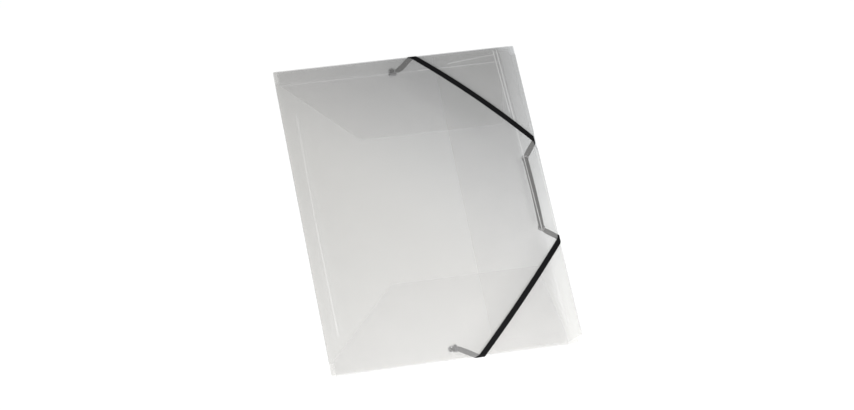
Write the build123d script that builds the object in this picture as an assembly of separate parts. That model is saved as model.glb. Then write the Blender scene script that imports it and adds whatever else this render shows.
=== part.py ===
from build123d import *
from math import atan2, cos, hypot, radians, sin
import os

# A4 three-flap folder of one creased polypropylene sheet, shown shut and empty.
# It lies on its back: +Z is up through the cover, +Y points to its top edge,
# and the spine is the left edge. The origin is the middle of its footprint.
# One flat elastic runs through four eyelets and holds the two outer corners.

# Outline and sheet
folder_width = 240.0
folder_height = 320.0
sheet = 0.5

# Panels between the creases
spine_width = 13.0
side_gusset_width = 15.0
end_gusset_width = 14.5
side_flap_depth = 69.0
end_flap_depth = 69.0
end_flap_slant = 68.0
end_flap_lead = 12.0
end_inset_at_spine = 4.0
end_gap_at_side = 0.8
side_inset_at_fold = 8.6
side_inset_at_crease = 3.0
side_inset_at_free_edge = 2.0
cover_setback = 2.5
outer_corner_radius = 2.0
end_flap_corner_radius = 3.0
side_flap_corner_radius = 4.5
back_notch_length = 12.0
outer_notch_width = 5.5
relief_slot_width = 1.5
relief_slot_length = 9.1
relief_slot_from_fold = 2.2
relief_slot_from_end = 2.6

# Flat elastic
elastic_width = 5.0
elastic = 0.8
elastic_bend = 0.4
elastic_core_radius = 1.9
elastic_end_radius = 2.4

# Where the elastic crosses the outline: along the top and bottom edges from the
# spine side, and along the outer edge from the middle
top_cross = 137.2
bottom_cross = 139.5
upper_cross = 51.0
lower_cross = 54.0
end_wrap_drift = 4.5
side_wrap_drift = 4.0

# Eyelets
eyelet_bore_radius = 2.0
eyelet_wall = 0.35
eyelet_flange_radius = 3.5
eyelet_flange = 0.25
eyelet_bevel = 0.6
side_eyelet_inset = 14.5
side_eyelet_spread = 37.3
end_eyelet_inset = 12.0
end_eyelet_from_spine = 115.5

# Metal clips on the two ends of the elastic
clip_length = 9.0
clip_width = 4.2
clip_height = 1.0
clip_mouth_radius = 1.0

# Play between layers that slide on each other, and around the fold beads
layer_play = 0.1
bead_play = 0.05
bead_root = 0.6

# Tolerance for finding edges and for roundings just short of full
edge_tolerance = 0.05

# Levels of the layers, from the table up
back_low = elastic + eyelet_flange
back_high = back_low + sheet
inner_low = back_high + eyelet_flange
end_low = inner_low + max(elastic, clip_height) + layer_play
end_high = end_low + sheet
side_low = end_high + layer_play
side_high = side_low + sheet
cover_low = side_high + layer_play
cover_high = cover_low + sheet
elastic_low = cover_high
elastic_high = elastic_low + elastic

# The elastic stands proud of the outer edge, so the outline is set off by half of it
elastic_proud = elastic_bend + elastic
left = -(folder_width + elastic_proud) / 2
right = left + folder_width
top = folder_height / 2
bottom = -top


def fold_bead_radius(panel_low):
    """Radius of the bead that fills a fold between the back and a panel above it."""
    return (panel_low - back_high) / 2 - bead_play


# Fold axes: each runs along a bead whose outer side is the outline
spine_bead = fold_bead_radius(cover_low)
side_bead = fold_bead_radius(side_low)
end_bead = fold_bead_radius(end_low)
spine_axis_x = left + spine_bead
side_axis_x = right - side_bead
top_axis_y = top - end_bead
bottom_axis_y = bottom + end_bead
spine_axis_z = (cover_low + back_high) / 2
side_axis_z = (side_low + back_high) / 2
end_axis_z = (end_low + back_high) / 2

# Second creases, parallel to the folds
spine_crease_x = left + spine_width
side_crease_x = right - side_gusset_width
top_crease_y = top - end_gusset_width
bottom_crease_y = bottom + end_gusset_width

# Ends of the top and bottom gussets
end_gusset_left = left + end_inset_at_spine
end_gusset_right = side_crease_x - end_gap_at_side


def slab(points, low, thickness):
    """A flat sheet of the given outline."""
    face = make_face(Polyline(*points, close=True))
    return extrude(Pos(0, 0, low) * face, thickness)


def corners_at(solid, spots):
    """Upright edges of a flat sheet that stand at the given corners."""
    found = []
    for x, y in spots:
        for edge in solid.edges().filter_by(Axis.Z):
            middle = edge.center()
            if hypot(middle.X - x, middle.Y - y) < sheet / 2:
                found.append(edge)
    return found


def round_hole(x, y, radius, low, thickness):
    """A short upright cylinder."""
    return Pos(x, y, low + thickness / 2) * Cylinder(radius, thickness)


# Eyelet places: name to x and y
eyelets = {
    "top_eyelet": (left + end_eyelet_from_spine, top - end_eyelet_inset),
    "bottom_eyelet": (left + end_eyelet_from_spine, bottom + end_eyelet_inset),
    "upper_side_eyelet": (right - side_eyelet_inset, side_eyelet_spread),
    "lower_side_eyelet": (right - side_eyelet_inset, -side_eyelet_spread),
}


def make_back_panel():
    """The back, with its four notched corners and the four eyelet holes."""
    notch_right = end_gusset_left
    notch_left = right - outer_notch_width
    side_end = top - side_inset_at_fold
    points = [
        (notch_right, bottom_axis_y),
        (notch_left, bottom_axis_y),
        (notch_left, -side_end),
        (side_axis_x, -side_end),
        (side_axis_x, side_end),
        (notch_left, side_end),
        (notch_left, top_axis_y),
        (notch_right, top_axis_y),
        (notch_right, top - back_notch_length),
        (spine_axis_x, top - back_notch_length),
        (spine_axis_x, bottom + back_notch_length),
        (notch_right, bottom + back_notch_length),
    ]
    panel = slab(points, back_low, sheet)
    for x, y in eyelets.values():
        panel -= round_hole(x, y, eyelet_bore_radius + eyelet_wall, back_low, sheet)
    return panel


def make_bead(radius, axis_z, length):
    """A fold bead along Y, centred on X = 0, with its root on the back and X the inner side."""
    core = Pos(0, 0, axis_z) * Rot(90, 0, 0) * Cylinder(radius, length)
    root_height = axis_z - back_high
    root = Pos(bead_root / 2, 0, back_high + root_height / 2) * Box(bead_root, length, root_height)
    return core + root


def make_folds():
    """The four rounded folds on the edges of the back."""
    spine_length = folder_height - 2 * back_notch_length
    side_length = folder_height - 2 * side_inset_at_fold
    end_length = end_gusset_right - end_gusset_left
    end_middle = (end_gusset_right + end_gusset_left) / 2
    end_fold = make_bead(end_bead, end_axis_z, end_length)
    return {
        "spine_fold": Pos(spine_axis_x, 0, 0) * make_bead(spine_bead, spine_axis_z, spine_length),
        "side_fold": Pos(side_axis_x, 0, 0) * Rot(0, 0, 180) * make_bead(side_bead, side_axis_z, side_length),
        "top_fold": Pos(end_middle, top_axis_y, 0) * Rot(0, 0, -90) * end_fold,
        "bottom_fold": Pos(end_middle, bottom_axis_y, 0) * Rot(0, 0, 90) * end_fold,
    }


def make_relief_slots():
    """Cutters for the slot beside the spine fold at each end of the strip."""
    slot_left = left + relief_slot_from_fold
    slot_right = slot_left + relief_slot_width
    high_end = top - relief_slot_from_end
    low_end = high_end - relief_slot_length
    points = [(slot_left, low_end), (slot_right, low_end), (slot_right, high_end), (slot_left, high_end)]
    upper_slot = slab(points, cover_low, sheet)
    return upper_slot, mirror(upper_slot, Plane.XZ)


def make_spine_strip():
    """The strip between the spine fold and the cover's crease, with its two relief slots."""
    points = [(spine_axis_x, bottom), (spine_crease_x, bottom), (spine_crease_x, top), (spine_axis_x, top)]
    strip = slab(points, cover_low, sheet)
    for slot in make_relief_slots():
        strip -= slot
    return strip


def make_front_cover():
    """The cover, rounded at its two outer corners."""
    outer = right - cover_setback
    points = [(spine_crease_x, bottom), (outer, bottom), (outer, top), (spine_crease_x, top)]
    cover = slab(points, cover_low, sheet)
    return fillet(corners_at(cover, [(outer, bottom), (outer, top)]), outer_corner_radius)


def make_side_gusset():
    """The outer gusset, whose ends draw in from the side flap's crease to the side fold."""
    crease_end = top - side_inset_at_crease
    fold_end = top - side_inset_at_fold
    points = [
        (side_crease_x, -crease_end),
        (side_axis_x, -fold_end),
        (side_axis_x, fold_end),
        (side_crease_x, crease_end),
    ]
    return slab(points, side_low, sheet)


def make_side_flap():
    """The side flap, nearly as high as the folder and rounded at its free corners."""
    free_x = side_crease_x - side_flap_depth
    crease_end = top - side_inset_at_crease
    free_end = top - side_inset_at_free_edge
    points = [
        (side_crease_x, -crease_end),
        (side_crease_x, crease_end),
        (free_x, free_end),
        (free_x, -free_end),
    ]
    flap = slab(points, side_low, sheet)
    return fillet(corners_at(flap, points[2:]), side_flap_corner_radius)


def make_end_gusset():
    """The top gusset, from its fold to the top flap's crease."""
    points = [
        (end_gusset_left, top_crease_y),
        (end_gusset_right, top_crease_y),
        (end_gusset_right, top_axis_y),
        (end_gusset_left, top_axis_y),
    ]
    return slab(points, end_low, sheet)


def make_end_flap():
    """The top flap: a long slant on the spine side and a short lead on the outer side."""
    free_y = top_crease_y - end_flap_depth
    points = [
        (end_gusset_left, top_crease_y),
        (end_gusset_left + end_flap_slant, free_y),
        (end_gusset_right - end_flap_lead, free_y),
        (end_gusset_right, top_crease_y),
    ]
    flap = slab(points, end_low, sheet)
    return fillet(corners_at(flap, points[1:3]), end_flap_corner_radius)


def make_eyelet(x, y):
    """A rolled tubular eyelet, with a flange on both faces of the back."""
    height = sheet + 2 * eyelet_flange
    barrel_radius = eyelet_bore_radius + eyelet_wall
    eyelet = round_hole(x, y, barrel_radius, back_low - eyelet_flange, height)
    eyelet += round_hole(x, y, eyelet_flange_radius, back_low - eyelet_flange, eyelet_flange)
    eyelet += round_hole(x, y, eyelet_flange_radius, back_high, eyelet_flange)
    rims = eyelet.edges().filter_by(GeomType.CIRCLE)
    outer_rims = [
        rim for rim in rims
        if abs(rim.radius - eyelet_flange_radius) < edge_tolerance
        and not back_low - edge_tolerance < rim.center().Z < back_high + edge_tolerance
    ]
    eyelet = chamfer(outer_rims, eyelet_flange * eyelet_bevel)
    return eyelet - round_hole(x, y, eyelet_bore_radius, back_low - eyelet_flange, height)


def wrap_stations(count=3):
    """Inner and outer points of the elastic round an edge: (outward, z) pairs, front first."""
    stations = []
    for centre_z, first_turn in ((elastic_low - elastic_bend, 90.0), (elastic + elastic_bend, 0.0)):
        for step in range(count + 1):
            turn = radians(first_turn - 90.0 * step / count)
            inner = (elastic_bend * cos(turn), centre_z + elastic_bend * sin(turn))
            outer = (elastic_proud * cos(turn), centre_z + elastic_proud * sin(turn))
            stations.append((inner, outer))
    return stations


def make_wrap(front, back, front_half, back_half, place):
    """The elastic round one edge, drifting along it from the front place to the back place.

    place turns (along, outward, z) into a point.
    """
    stations = wrap_stations()
    wires = []
    for number, (inner, outer) in enumerate(stations):
        share = number / (len(stations) - 1)
        along = front + (back - front) * share
        half = front_half + (back_half - front_half) * share
        corners = [
            place(along - half, *inner),
            place(along + half, *inner),
            place(along + half, *outer),
            place(along - half, *outer),
        ]
        wires.append(Wire.make_polygon(corners, close=True))
    return Solid.make_loft(wires, ruled=True)


def end_place(sign):
    """Points on the top edge (sign 1) or the bottom edge (sign -1)."""
    return lambda along, outward, z: (along, sign * (top + outward), z)


def side_place(along, outward, z):
    """Points on the outer edge."""
    return (right + outward, along, z)


def half_cut(run_x, run_y, edge_is_x):
    """Half the length that the elastic covers on an edge that its run crosses."""
    length = hypot(run_x, run_y)
    across = abs(run_y) if edge_is_x else abs(run_x)
    return elastic_width / 2 * length / across


def make_corner_elastic(sign, end_cross, side_cross):
    """The elastic over one outer corner of the cover, with its turns round both edges."""
    end_x = left + end_cross
    side_y = sign * side_cross
    run_x = right - end_x
    run_y = sign * top - side_y
    end_half = half_cut(run_x, run_y, True)
    side_half = half_cut(run_x, run_y, False)
    points = [
        (end_x - end_half, sign * top),
        (end_x + end_half, sign * top),
        (right, side_y + sign * side_half),
        (right, side_y - sign * side_half),
    ]
    band = slab(points, elastic_low, elastic)
    end_back_half = half_cut(*end_tail_run(end_cross), True)
    side_back_half = half_cut(*side_tail_run(side_cross), False)
    band += make_wrap(end_x, end_x - end_wrap_drift, end_half, end_back_half, end_place(sign))
    side_back = side_y - sign * side_wrap_drift
    band += make_wrap(side_y, side_back, side_half, side_back_half, side_place)
    return band


def end_tail_run(end_cross):
    """From the top eyelet to where the elastic leaves the back's top edge: x and y parts."""
    return end_cross - end_wrap_drift - end_eyelet_from_spine, end_eyelet_inset


def side_tail_run(side_cross):
    """From the upper side eyelet to where the elastic leaves the outer edge: x and y parts."""
    return side_eyelet_inset, side_cross - side_wrap_drift - side_eyelet_spread


def make_tail(eye_x, eye_y, edge_points):
    """The elastic on the back face, from an edge to the round end under an eyelet."""
    middle_x = (edge_points[0][0] + edge_points[1][0]) / 2
    middle_y = (edge_points[0][1] + edge_points[1][1]) / 2
    heading = atan2(middle_y - eye_y, middle_x - eye_x)
    side_x = -sin(heading) * elastic_end_radius
    side_y = cos(heading) * elastic_end_radius
    points = [
        edge_points[0],
        edge_points[1],
        (eye_x + side_x, eye_y + side_y),
        (eye_x - side_x, eye_y - side_y),
    ]
    tail = slab(points, 0.0, elastic)
    return tail + round_hole(eye_x, eye_y, elastic_end_radius, 0.0, elastic)


def make_end_tail(sign, end_cross, name):
    """The back run at the top or bottom edge, with its core up through the eyelet."""
    eye_x, eye_y = eyelets[name]
    cross_x = left + end_cross - end_wrap_drift
    half = half_cut(*end_tail_run(end_cross), True)
    edge_points = [(cross_x + sign * half, sign * top), (cross_x - sign * half, sign * top)]
    tail = make_tail(eye_x, eye_y, edge_points)
    return tail + round_hole(eye_x, eye_y, elastic_core_radius, elastic, inner_low - elastic)


def make_side_tail(sign, side_cross, name):
    """The back run between the outer edge and a side eyelet."""
    eye_x, eye_y = eyelets[name]
    cross_y = sign * (side_cross - side_wrap_drift)
    half = half_cut(*side_tail_run(side_cross), False)
    edge_points = [(right, cross_y - half), (right, cross_y + half)]
    return make_tail(eye_x, eye_y, edge_points)


def make_inner_run():
    """The elastic inside the folder, down through both side eyelets."""
    eye_x = right - side_eyelet_inset
    run = Pos(eye_x, 0, inner_low + elastic / 2) * Box(elastic_width, 2 * side_eyelet_spread, elastic)
    for sign in (1, -1):
        run += round_hole(eye_x, sign * side_eyelet_spread, elastic_width / 2, inner_low, elastic)
        run += round_hole(eye_x, sign * side_eyelet_spread, elastic_core_radius, elastic, inner_low - elastic)
    return run


def make_clip(x, y):
    """A folded metal clip on an end of the elastic, lying across its eyelet."""
    clip = Pos(x, y, inner_low + clip_height / 2) * Box(clip_length, clip_width, clip_height)
    upright = clip.edges().filter_by(Axis.Z)
    clip = fillet(upright, clip_width / 2 - edge_tolerance)
    mouth = Pos(x, y + clip_width / 2, inner_low + clip_height) * Cylinder(clip_mouth_radius, clip_height)
    return clip - mouth


parts = {
    "back_panel": make_back_panel(),
    "spine_strip": make_spine_strip(),
    "front_cover": make_front_cover(),
    "side_gusset": make_side_gusset(),
    "side_flap": make_side_flap(),
    "top_gusset": make_end_gusset(),
    "top_flap": make_end_flap(),
    "bottom_gusset": mirror(make_end_gusset(), Plane.XZ),
    "bottom_flap": mirror(make_end_flap(), Plane.XZ),
    "upper_corner_elastic": make_corner_elastic(1, top_cross, upper_cross),
    "lower_corner_elastic": make_corner_elastic(-1, bottom_cross, lower_cross),
    "inner_elastic": make_inner_run(),
    "top_elastic_tail": make_end_tail(1, top_cross, "top_eyelet"),
    "bottom_elastic_tail": make_end_tail(-1, bottom_cross, "bottom_eyelet"),
    "upper_side_elastic_tail": make_side_tail(1, upper_cross, "upper_side_eyelet"),
    "lower_side_elastic_tail": make_side_tail(-1, lower_cross, "lower_side_eyelet"),
    "top_elastic_clip": make_clip(*eyelets["top_eyelet"]),
    "bottom_elastic_clip": make_clip(*eyelets["bottom_eyelet"]),
}
parts.update(make_folds())
for eyelet_name, eyelet_place in eyelets.items():
    parts[eyelet_name] = make_eyelet(*eyelet_place)

os.makedirs("parts", exist_ok=True)
for part_name, part_solid in parts.items():
    export_step(part_solid, f"parts/{part_name}.step")

print("levels: back", back_low, "ends", end_low, "side", side_low, "cover", cover_low, "height", elastic_high)
print("spine axis", spine_axis_x, spine_axis_z, "side axis", side_axis_x, side_axis_z)
print("end axes", top_axis_y, bottom_axis_y, end_axis_z)
print("creases", spine_crease_x, side_crease_x, top_crease_y, bottom_crease_y)
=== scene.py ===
import logging
from dataclasses import dataclass, field
from enum import Enum
from math import cos, hypot, pi, radians, sin
from typing import Callable, Optional, Sequence

import bmesh
import bpy
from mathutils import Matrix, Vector

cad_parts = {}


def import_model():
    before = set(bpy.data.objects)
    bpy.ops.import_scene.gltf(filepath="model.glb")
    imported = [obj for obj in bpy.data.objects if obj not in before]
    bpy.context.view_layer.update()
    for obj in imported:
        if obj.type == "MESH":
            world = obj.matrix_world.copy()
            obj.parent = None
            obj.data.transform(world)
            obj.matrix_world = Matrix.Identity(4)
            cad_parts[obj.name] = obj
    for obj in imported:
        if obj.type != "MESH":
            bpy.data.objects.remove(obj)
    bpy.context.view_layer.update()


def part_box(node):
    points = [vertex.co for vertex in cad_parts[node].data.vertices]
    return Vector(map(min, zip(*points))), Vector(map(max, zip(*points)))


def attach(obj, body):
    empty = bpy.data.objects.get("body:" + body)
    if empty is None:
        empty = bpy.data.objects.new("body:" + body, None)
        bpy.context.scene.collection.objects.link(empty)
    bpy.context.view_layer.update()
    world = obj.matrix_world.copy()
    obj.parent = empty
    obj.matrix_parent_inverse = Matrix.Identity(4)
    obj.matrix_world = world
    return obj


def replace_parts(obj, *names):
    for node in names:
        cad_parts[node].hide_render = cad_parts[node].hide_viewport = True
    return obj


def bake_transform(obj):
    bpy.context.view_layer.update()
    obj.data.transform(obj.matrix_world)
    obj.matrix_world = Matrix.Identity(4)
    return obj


# The dressed look of an A4 three-flap folder of frosted sheet with a black elastic.
# Sizes are in millimetres in the folder's own frame, and meshes are made in metres.

MM = 0.001
log = logging.getLogger("elastic_folder")

Point = tuple[float, float, float]
Spot = tuple[float, float]
Line = tuple[Spot, Spot]
Colour = tuple[float, float, float, float]
Place = Callable[[float, float], Point]
CrossLine = tuple[Vector, Vector, Vector]
Piece = bpy.types.Object
Material = bpy.types.Material
Tree = bpy.types.NodeTree
Socket = bpy.types.NodeSocket
Groups = dict[str, Tree]

WHITE = (1.0, 1.0, 1.0, 1.0)
UP = Vector((0, 0, 1))
FLANGE = 0.25  # thickness of an eyelet's rolled flanges
SOFT_EDGE = 0.09  # width of a sheet's softened cut edges


class Slot(Enum):
    """The record's material slots."""

    SHEET = "translucent_sheet"
    ELASTIC = "elastic"
    METAL = "metal"


@dataclass(frozen=True)
class FolderFrame:
    """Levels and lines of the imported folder, in millimetres."""

    left: float
    right: float
    top: float
    back_low: float
    back_high: float
    end_low: float
    side_low: float
    cover_low: float
    cover_high: float
    spine_crease: float
    side_crease: float
    end_crease: float
    end_left: float
    end_right: float
    end_free: float
    side_free: float
    elastic_thickness: float

    @classmethod
    def read(cls) -> "FolderFrame":
        """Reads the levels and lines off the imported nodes.

        Returns:
            The frame's values.
        """
        low = {}
        high = {}
        for name in (
            "spine_fold", "side_fold", "top_fold", "back_panel", "top_gusset", "side_gusset",
            "front_cover", "top_flap", "side_flap", "top_elastic_tail",
        ):
            corner_low, corner_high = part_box(name)
            low[name] = corner_low / MM
            high[name] = corner_high / MM
        return cls(
            left=low["spine_fold"].x,
            right=high["side_fold"].x,
            top=high["top_fold"].y,
            back_low=low["back_panel"].z,
            back_high=high["back_panel"].z,
            end_low=low["top_gusset"].z,
            side_low=low["side_gusset"].z,
            cover_low=low["front_cover"].z,
            cover_high=high["front_cover"].z,
            spine_crease=low["front_cover"].x,
            side_crease=low["side_gusset"].x,
            end_crease=low["top_gusset"].y,
            end_left=low["top_gusset"].x,
            end_right=high["top_gusset"].x,
            end_free=low["top_flap"].y,
            side_free=low["side_flap"].x,
            elastic_thickness=high["top_elastic_tail"].z,
        )


def smoothstep(low: float, high: float, value: float) -> float:
    """Smooth step from 0 at low to 1 at high."""
    share = min(1.0, max(0.0, (value - low) / (high - low)))
    return share * share * (3 - 2 * share)


def stations(start: float, end: float, step: float, extra: Sequence[float] = ()) -> list[float]:
    """Places along a length, evenly spaced, with extra ones put in.

    Args:
        start: First place.
        end: Last place.
        step: Largest gap between the evenly spaced places.
        extra: Further places, kept where they lie inside the length.

    Returns:
        The places in order, without near repeats.
    """
    count = max(1, round(abs(end - start) / step))
    wanted = [start, end]
    for place in extra:
        if min(start, end) < place < max(start, end) and min(abs(place - other) for other in wanted) > 1e-4:
            wanted.append(place)
    for number in range(1, count):
        place = start + (end - start) * number / count
        if min(abs(place - other) for other in wanted) > 0.3 * step:
            wanted.append(place)
    return sorted(wanted)


def near_ends(start: float, end: float, distances: Sequence[float]) -> list[float]:
    """Places at the given distances in from both ends of a length."""
    way = 1 if end > start else -1
    return [start + way * gap for gap in distances] + [end - way * gap for gap in distances]


def new_object(name: str, mesh: bpy.types.Mesh) -> Piece:
    """Links a new object, which stands at the origin.

    Args:
        name: The object's name.
        mesh: Its mesh.

    Returns:
        The new object.
    """
    made = bpy.data.objects.new(name, mesh)
    bpy.context.scene.collection.objects.link(made)
    return made


def mesh_object(
    name: str, points: Sequence[Vector], edges: Sequence[tuple[int, int]], faces: Sequence[tuple[int, ...]]
) -> Piece:
    """Makes an object from the parts of its mesh.

    Args:
        name: The object's name.
        points: Its points, in metres.
        edges: Its loose edges.
        faces: Its faces.

    Returns:
        The new object.
    """
    mesh = bpy.data.meshes.new(name)
    mesh.from_pydata(points, edges, faces)
    return new_object(name, mesh)


def ring_faces(rows: int, ring: int, closed: bool = False) -> list[tuple[int, ...]]:
    """Four-sided faces between neighbouring rings of points.

    Args:
        rows: Number of rings.
        ring: Points in each ring.
        closed: Whether the last ring joins the first.

    Returns:
        The faces.
    """
    faces = []
    for row in range(rows if closed else rows - 1):
        start = row * ring
        following = (row + 1) % rows * ring
        for spot in range(ring):
            after = (spot + 1) % ring
            faces.append((start + spot, start + after, following + after, following + spot))
    return faces


def applied(made: Piece) -> Piece:
    """Turns an object's evaluated result into its own plain mesh and drops its modifiers.

    Args:
        made: The object.

    Returns:
        The same object.
    """
    bpy.context.view_layer.update()
    evaluated = made.evaluated_get(bpy.context.evaluated_depsgraph_get())
    mesh = bpy.data.meshes.new_from_object(evaluated)
    made.modifiers.clear()
    made.data = mesh
    mesh.name = made.name
    return made


def point_outwards(made: Piece) -> None:
    """Recalculates a closed mesh's normals after merging its doubles.

    Args:
        made: The object.
    """
    work = bmesh.new()
    work.from_mesh(made.data)
    bmesh.ops.remove_doubles(work, verts=work.verts, dist=1e-7)
    bmesh.ops.recalc_face_normals(work, faces=work.faces)
    work.to_mesh(made.data)
    work.free()


def shade_smooth(made: Piece, angle: float) -> None:
    """Shades the mesh smooth, with edges over the angle, in degrees, kept sharp."""
    made.data.shade_smooth()
    made.data.set_sharp_from_angle(angle=radians(angle))


def paint(made: Piece, material: Material) -> Piece:
    """Makes a material an object's only one.

    Args:
        made: The object.
        material: Its finish.

    Returns:
        The same object.
    """
    made.data.materials.clear()
    made.data.materials.append(material)
    return made


def finish_closed(made: Piece, material: Material, angle: float) -> Piece:
    """Finishes a closed mesh: faces outwards, smooth shading and its material.

    Args:
        made: The object.
        material: Its finish.
        angle: Edges over this angle, in degrees, stay sharp.

    Returns:
        The same object.
    """
    point_outwards(made)
    shade_smooth(made, angle)
    return paint(made, material)


class Joined(Enum):
    """Borders of a sheet's grid, some of which carry on into another piece."""

    START_U = "start of u"
    END_U = "end of u"


@dataclass
class Sheet:
    """A thin sheet over a grid of two places, u and v, in millimetres."""

    name: str
    us: list[float]
    vs: list[float]
    place: Place
    thickness: float
    joined: tuple[Joined, ...] = ()
    left_out: Optional[Callable[[float, float], bool]] = None

    def cells(self) -> list[tuple[int, int, int, int]]:
        """Finds the grid's faces.

        Returns:
            The faces, without the left-out cells.
        """
        rows = len(self.vs)
        faces = []
        for row in range(len(self.us) - 1):
            for column in range(rows - 1):
                middle_u = (self.us[row] + self.us[row + 1]) / 2
                middle_v = (self.vs[column] + self.vs[column + 1]) / 2
                if self.left_out and self.left_out(middle_u, middle_v):
                    continue
                first = row * rows + column
                faces.append((first, first + rows, first + rows + 1, first + 1))
        return faces

    def mark_edges(self, mesh: bpy.types.Mesh) -> None:
        """Marks the cut edges for whitening and bevelling, and the borders joined to other pieces.

        Args:
            mesh: The sheet's mesh, still without its thickness.
        """
        rows = len(self.vs)
        joined_rows = [0] if Joined.START_U in self.joined else []
        joined_rows += [len(self.us) - 1] if Joined.END_U in self.joined else []
        work = bmesh.new()
        work.from_mesh(mesh)
        cut = work.verts.layers.float.new("cut_edge")
        seam = work.verts.layers.float.new("seam")
        bevel = work.edges.layers.float.new("bevel_weight_edge")
        work.verts.ensure_lookup_table()
        for number, vert in enumerate(work.verts):
            vert[seam] = 1.0 if number // rows in joined_rows else 0.0
        for edge in work.edges:
            if edge.is_boundary and not all(vert[seam] for vert in edge.verts):
                edge[bevel] = 1.0
                for vert in edge.verts:
                    vert[cut] = 1.0
        loose = [vert for vert in work.verts if not vert.link_faces]
        bmesh.ops.delete(work, geom=loose, context="VERTS")
        work.to_mesh(mesh)
        work.free()

    def build(self) -> Piece:
        """Builds the sheet as a closed mesh with softened edges.

        Returns:
            The new object.
        """
        points = [Vector(self.place(u, v)) * MM for u in self.us for v in self.vs]
        made = mesh_object(self.name, points, [], self.cells())
        self.mark_edges(made.data)
        return thicken(made, self.thickness)


@dataclass
class Plate:
    """A flat sheet with round holes, in millimetres."""

    name: str
    outline: list[Spot]
    holes: list[Spot]
    hole_radius: float
    joined_lines: tuple[float, float, float]
    level: float
    thickness: float
    hole_steps: int = 32

    def on_joined_line(self, x: float, y: float) -> bool:
        """Whether a place lies where a fold carries on: at either side's x or the ends' y."""
        right, left, end = self.joined_lines
        return min(abs(x - right), abs(x - left), abs(abs(y) - end)) < 0.01

    def build(self) -> Piece:
        """Builds the plate as a closed mesh with softened edges.

        Returns:
            The new object.
        """
        loops = [self.outline]
        for x, y in self.holes:
            turns = [2 * pi * step / self.hole_steps for step in range(self.hole_steps)]
            radius = self.hole_radius
            loops.append([(x + radius * cos(turn), y + radius * sin(turn)) for turn in turns])
        work = bmesh.new()
        seam = work.verts.layers.float.new("seam")
        bevel = work.edges.layers.float.new("bevel_weight_edge")
        for loop in loops:
            verts = [work.verts.new(Vector((x, y, self.level)) * MM) for x, y in loop]
            for vert, (x, y) in zip(verts, loop):
                vert[seam] = 1.0 if loop is self.outline and self.on_joined_line(x, y) else 0.0
            for number, vert in enumerate(verts):
                edge = work.edges.new((vert, verts[(number + 1) % len(verts)]))
                edge[bevel] = 0.0 if all(spot[seam] for spot in edge.verts) else 1.0
        bmesh.ops.triangle_fill(work, use_beauty=True, use_dissolve=False, edges=list(work.edges))
        mesh = bpy.data.meshes.new(self.name)
        work.to_mesh(mesh)
        work.free()
        return thicken(new_object(self.name, mesh), self.thickness)


def thicken(made: Piece, thickness: float) -> Piece:
    """Gives a marked surface its thickness, softens its cut edges and marks its joined end faces.

    Args:
        made: The object, whose mesh carries seam and bevel_weight_edge marks.
        thickness: The sheet's thickness, in millimetres.

    Returns:
        The same object.
    """
    wall = made.modifiers.new("wall", "SOLIDIFY")
    wall.thickness = thickness * MM
    wall.offset = 0.0
    wall.use_even_offset = True
    soft = made.modifiers.new("soft edge", "BEVEL")
    soft.width = SOFT_EDGE * MM
    soft.segments = 2
    soft.limit_method = "WEIGHT"
    applied(made)
    point_outwards(made)
    mesh = made.data
    seam = [item.value for item in mesh.attributes["seam"].data]
    hidden = []
    for face in mesh.polygons:
        joined = abs(face.normal.z) < 0.5 and all(seam[spot] > 0.99 for spot in face.vertices)
        hidden.append(1.0 if joined else 0.0)
    mesh.attributes.new("seam_face", "FLOAT", "FACE").data.foreach_set("value", hidden)
    shade_smooth(made, 35.0)
    return made


def rounded(place: float, across: float, end: float, side: float, radius: float) -> Spot:
    """Bends a grid's corner square into a quarter round.

    Args:
        place: Distance along the grid, with its end at end.
        across: Distance across the grid, with its side at side.
        end: The grid's end.
        side: The grid's side, with the same sign as across where the corner is.
        radius: Radius of the round.

    Returns:
        The moved place and across.
    """
    way_end = 1 if end > 0 else -1
    way_side = 1 if side > 0 else -1
    along = (place - (end - way_end * radius)) * way_end / radius
    beside = (across - (side - way_side * radius)) * way_side / radius
    if along <= 0 or beside <= 0:
        return place, across
    shrink = max(along, beside) / hypot(along, beside)
    moved_place = end - way_end * radius * (1 - along * shrink)
    moved_across = side - way_side * radius * (1 - beside * shrink)
    return moved_place, moved_across


def new_material(name: str) -> tuple[Material, Tree, bpy.types.Node]:
    """Makes a node material.

    Args:
        name: The material's name.

    Returns:
        The material, its tree and its Principled shader.
    """
    material = bpy.data.materials.new(name)
    material.use_nodes = True
    return material, material.node_tree, material.node_tree.nodes["Principled BSDF"]


def feed(tree: Tree, socket: Socket, value: object) -> None:
    """Links another socket to an input, or sets the input's own value.

    Args:
        tree: The tree of the input.
        socket: The input.
        value: A socket or a plain value.
    """
    if isinstance(value, Socket):
        tree.links.new(value, socket)
    else:
        socket.default_value = value


def math_node(tree: Tree, operation: str, *values: object, clamp: bool = False) -> Socket:
    """Adds a Math node.

    Args:
        tree: The tree to add it to.
        operation: What it works out.
        *values: Numbers or sockets.
        clamp: Whether the result is kept between 0 and 1.

    Returns:
        The node's output.
    """
    made = tree.nodes.new("ShaderNodeMath")
    made.operation = operation
    made.use_clamp = clamp
    for socket, value in zip(made.inputs, values):
        feed(tree, socket, value)
    return made.outputs[0]


def vector_node(tree: Tree, operation: str, *values: object, output: str = "Vector") -> Socket:
    """Adds a Vector Math node.

    Args:
        tree: The tree to add it to.
        operation: What it works out.
        *values: Vectors or sockets.
        output: The wanted output.

    Returns:
        The node's output.
    """
    made = tree.nodes.new("ShaderNodeVectorMath")
    made.operation = operation
    for socket, value in zip(made.inputs, values):
        feed(tree, socket, value)
    return made.outputs[output]


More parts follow.
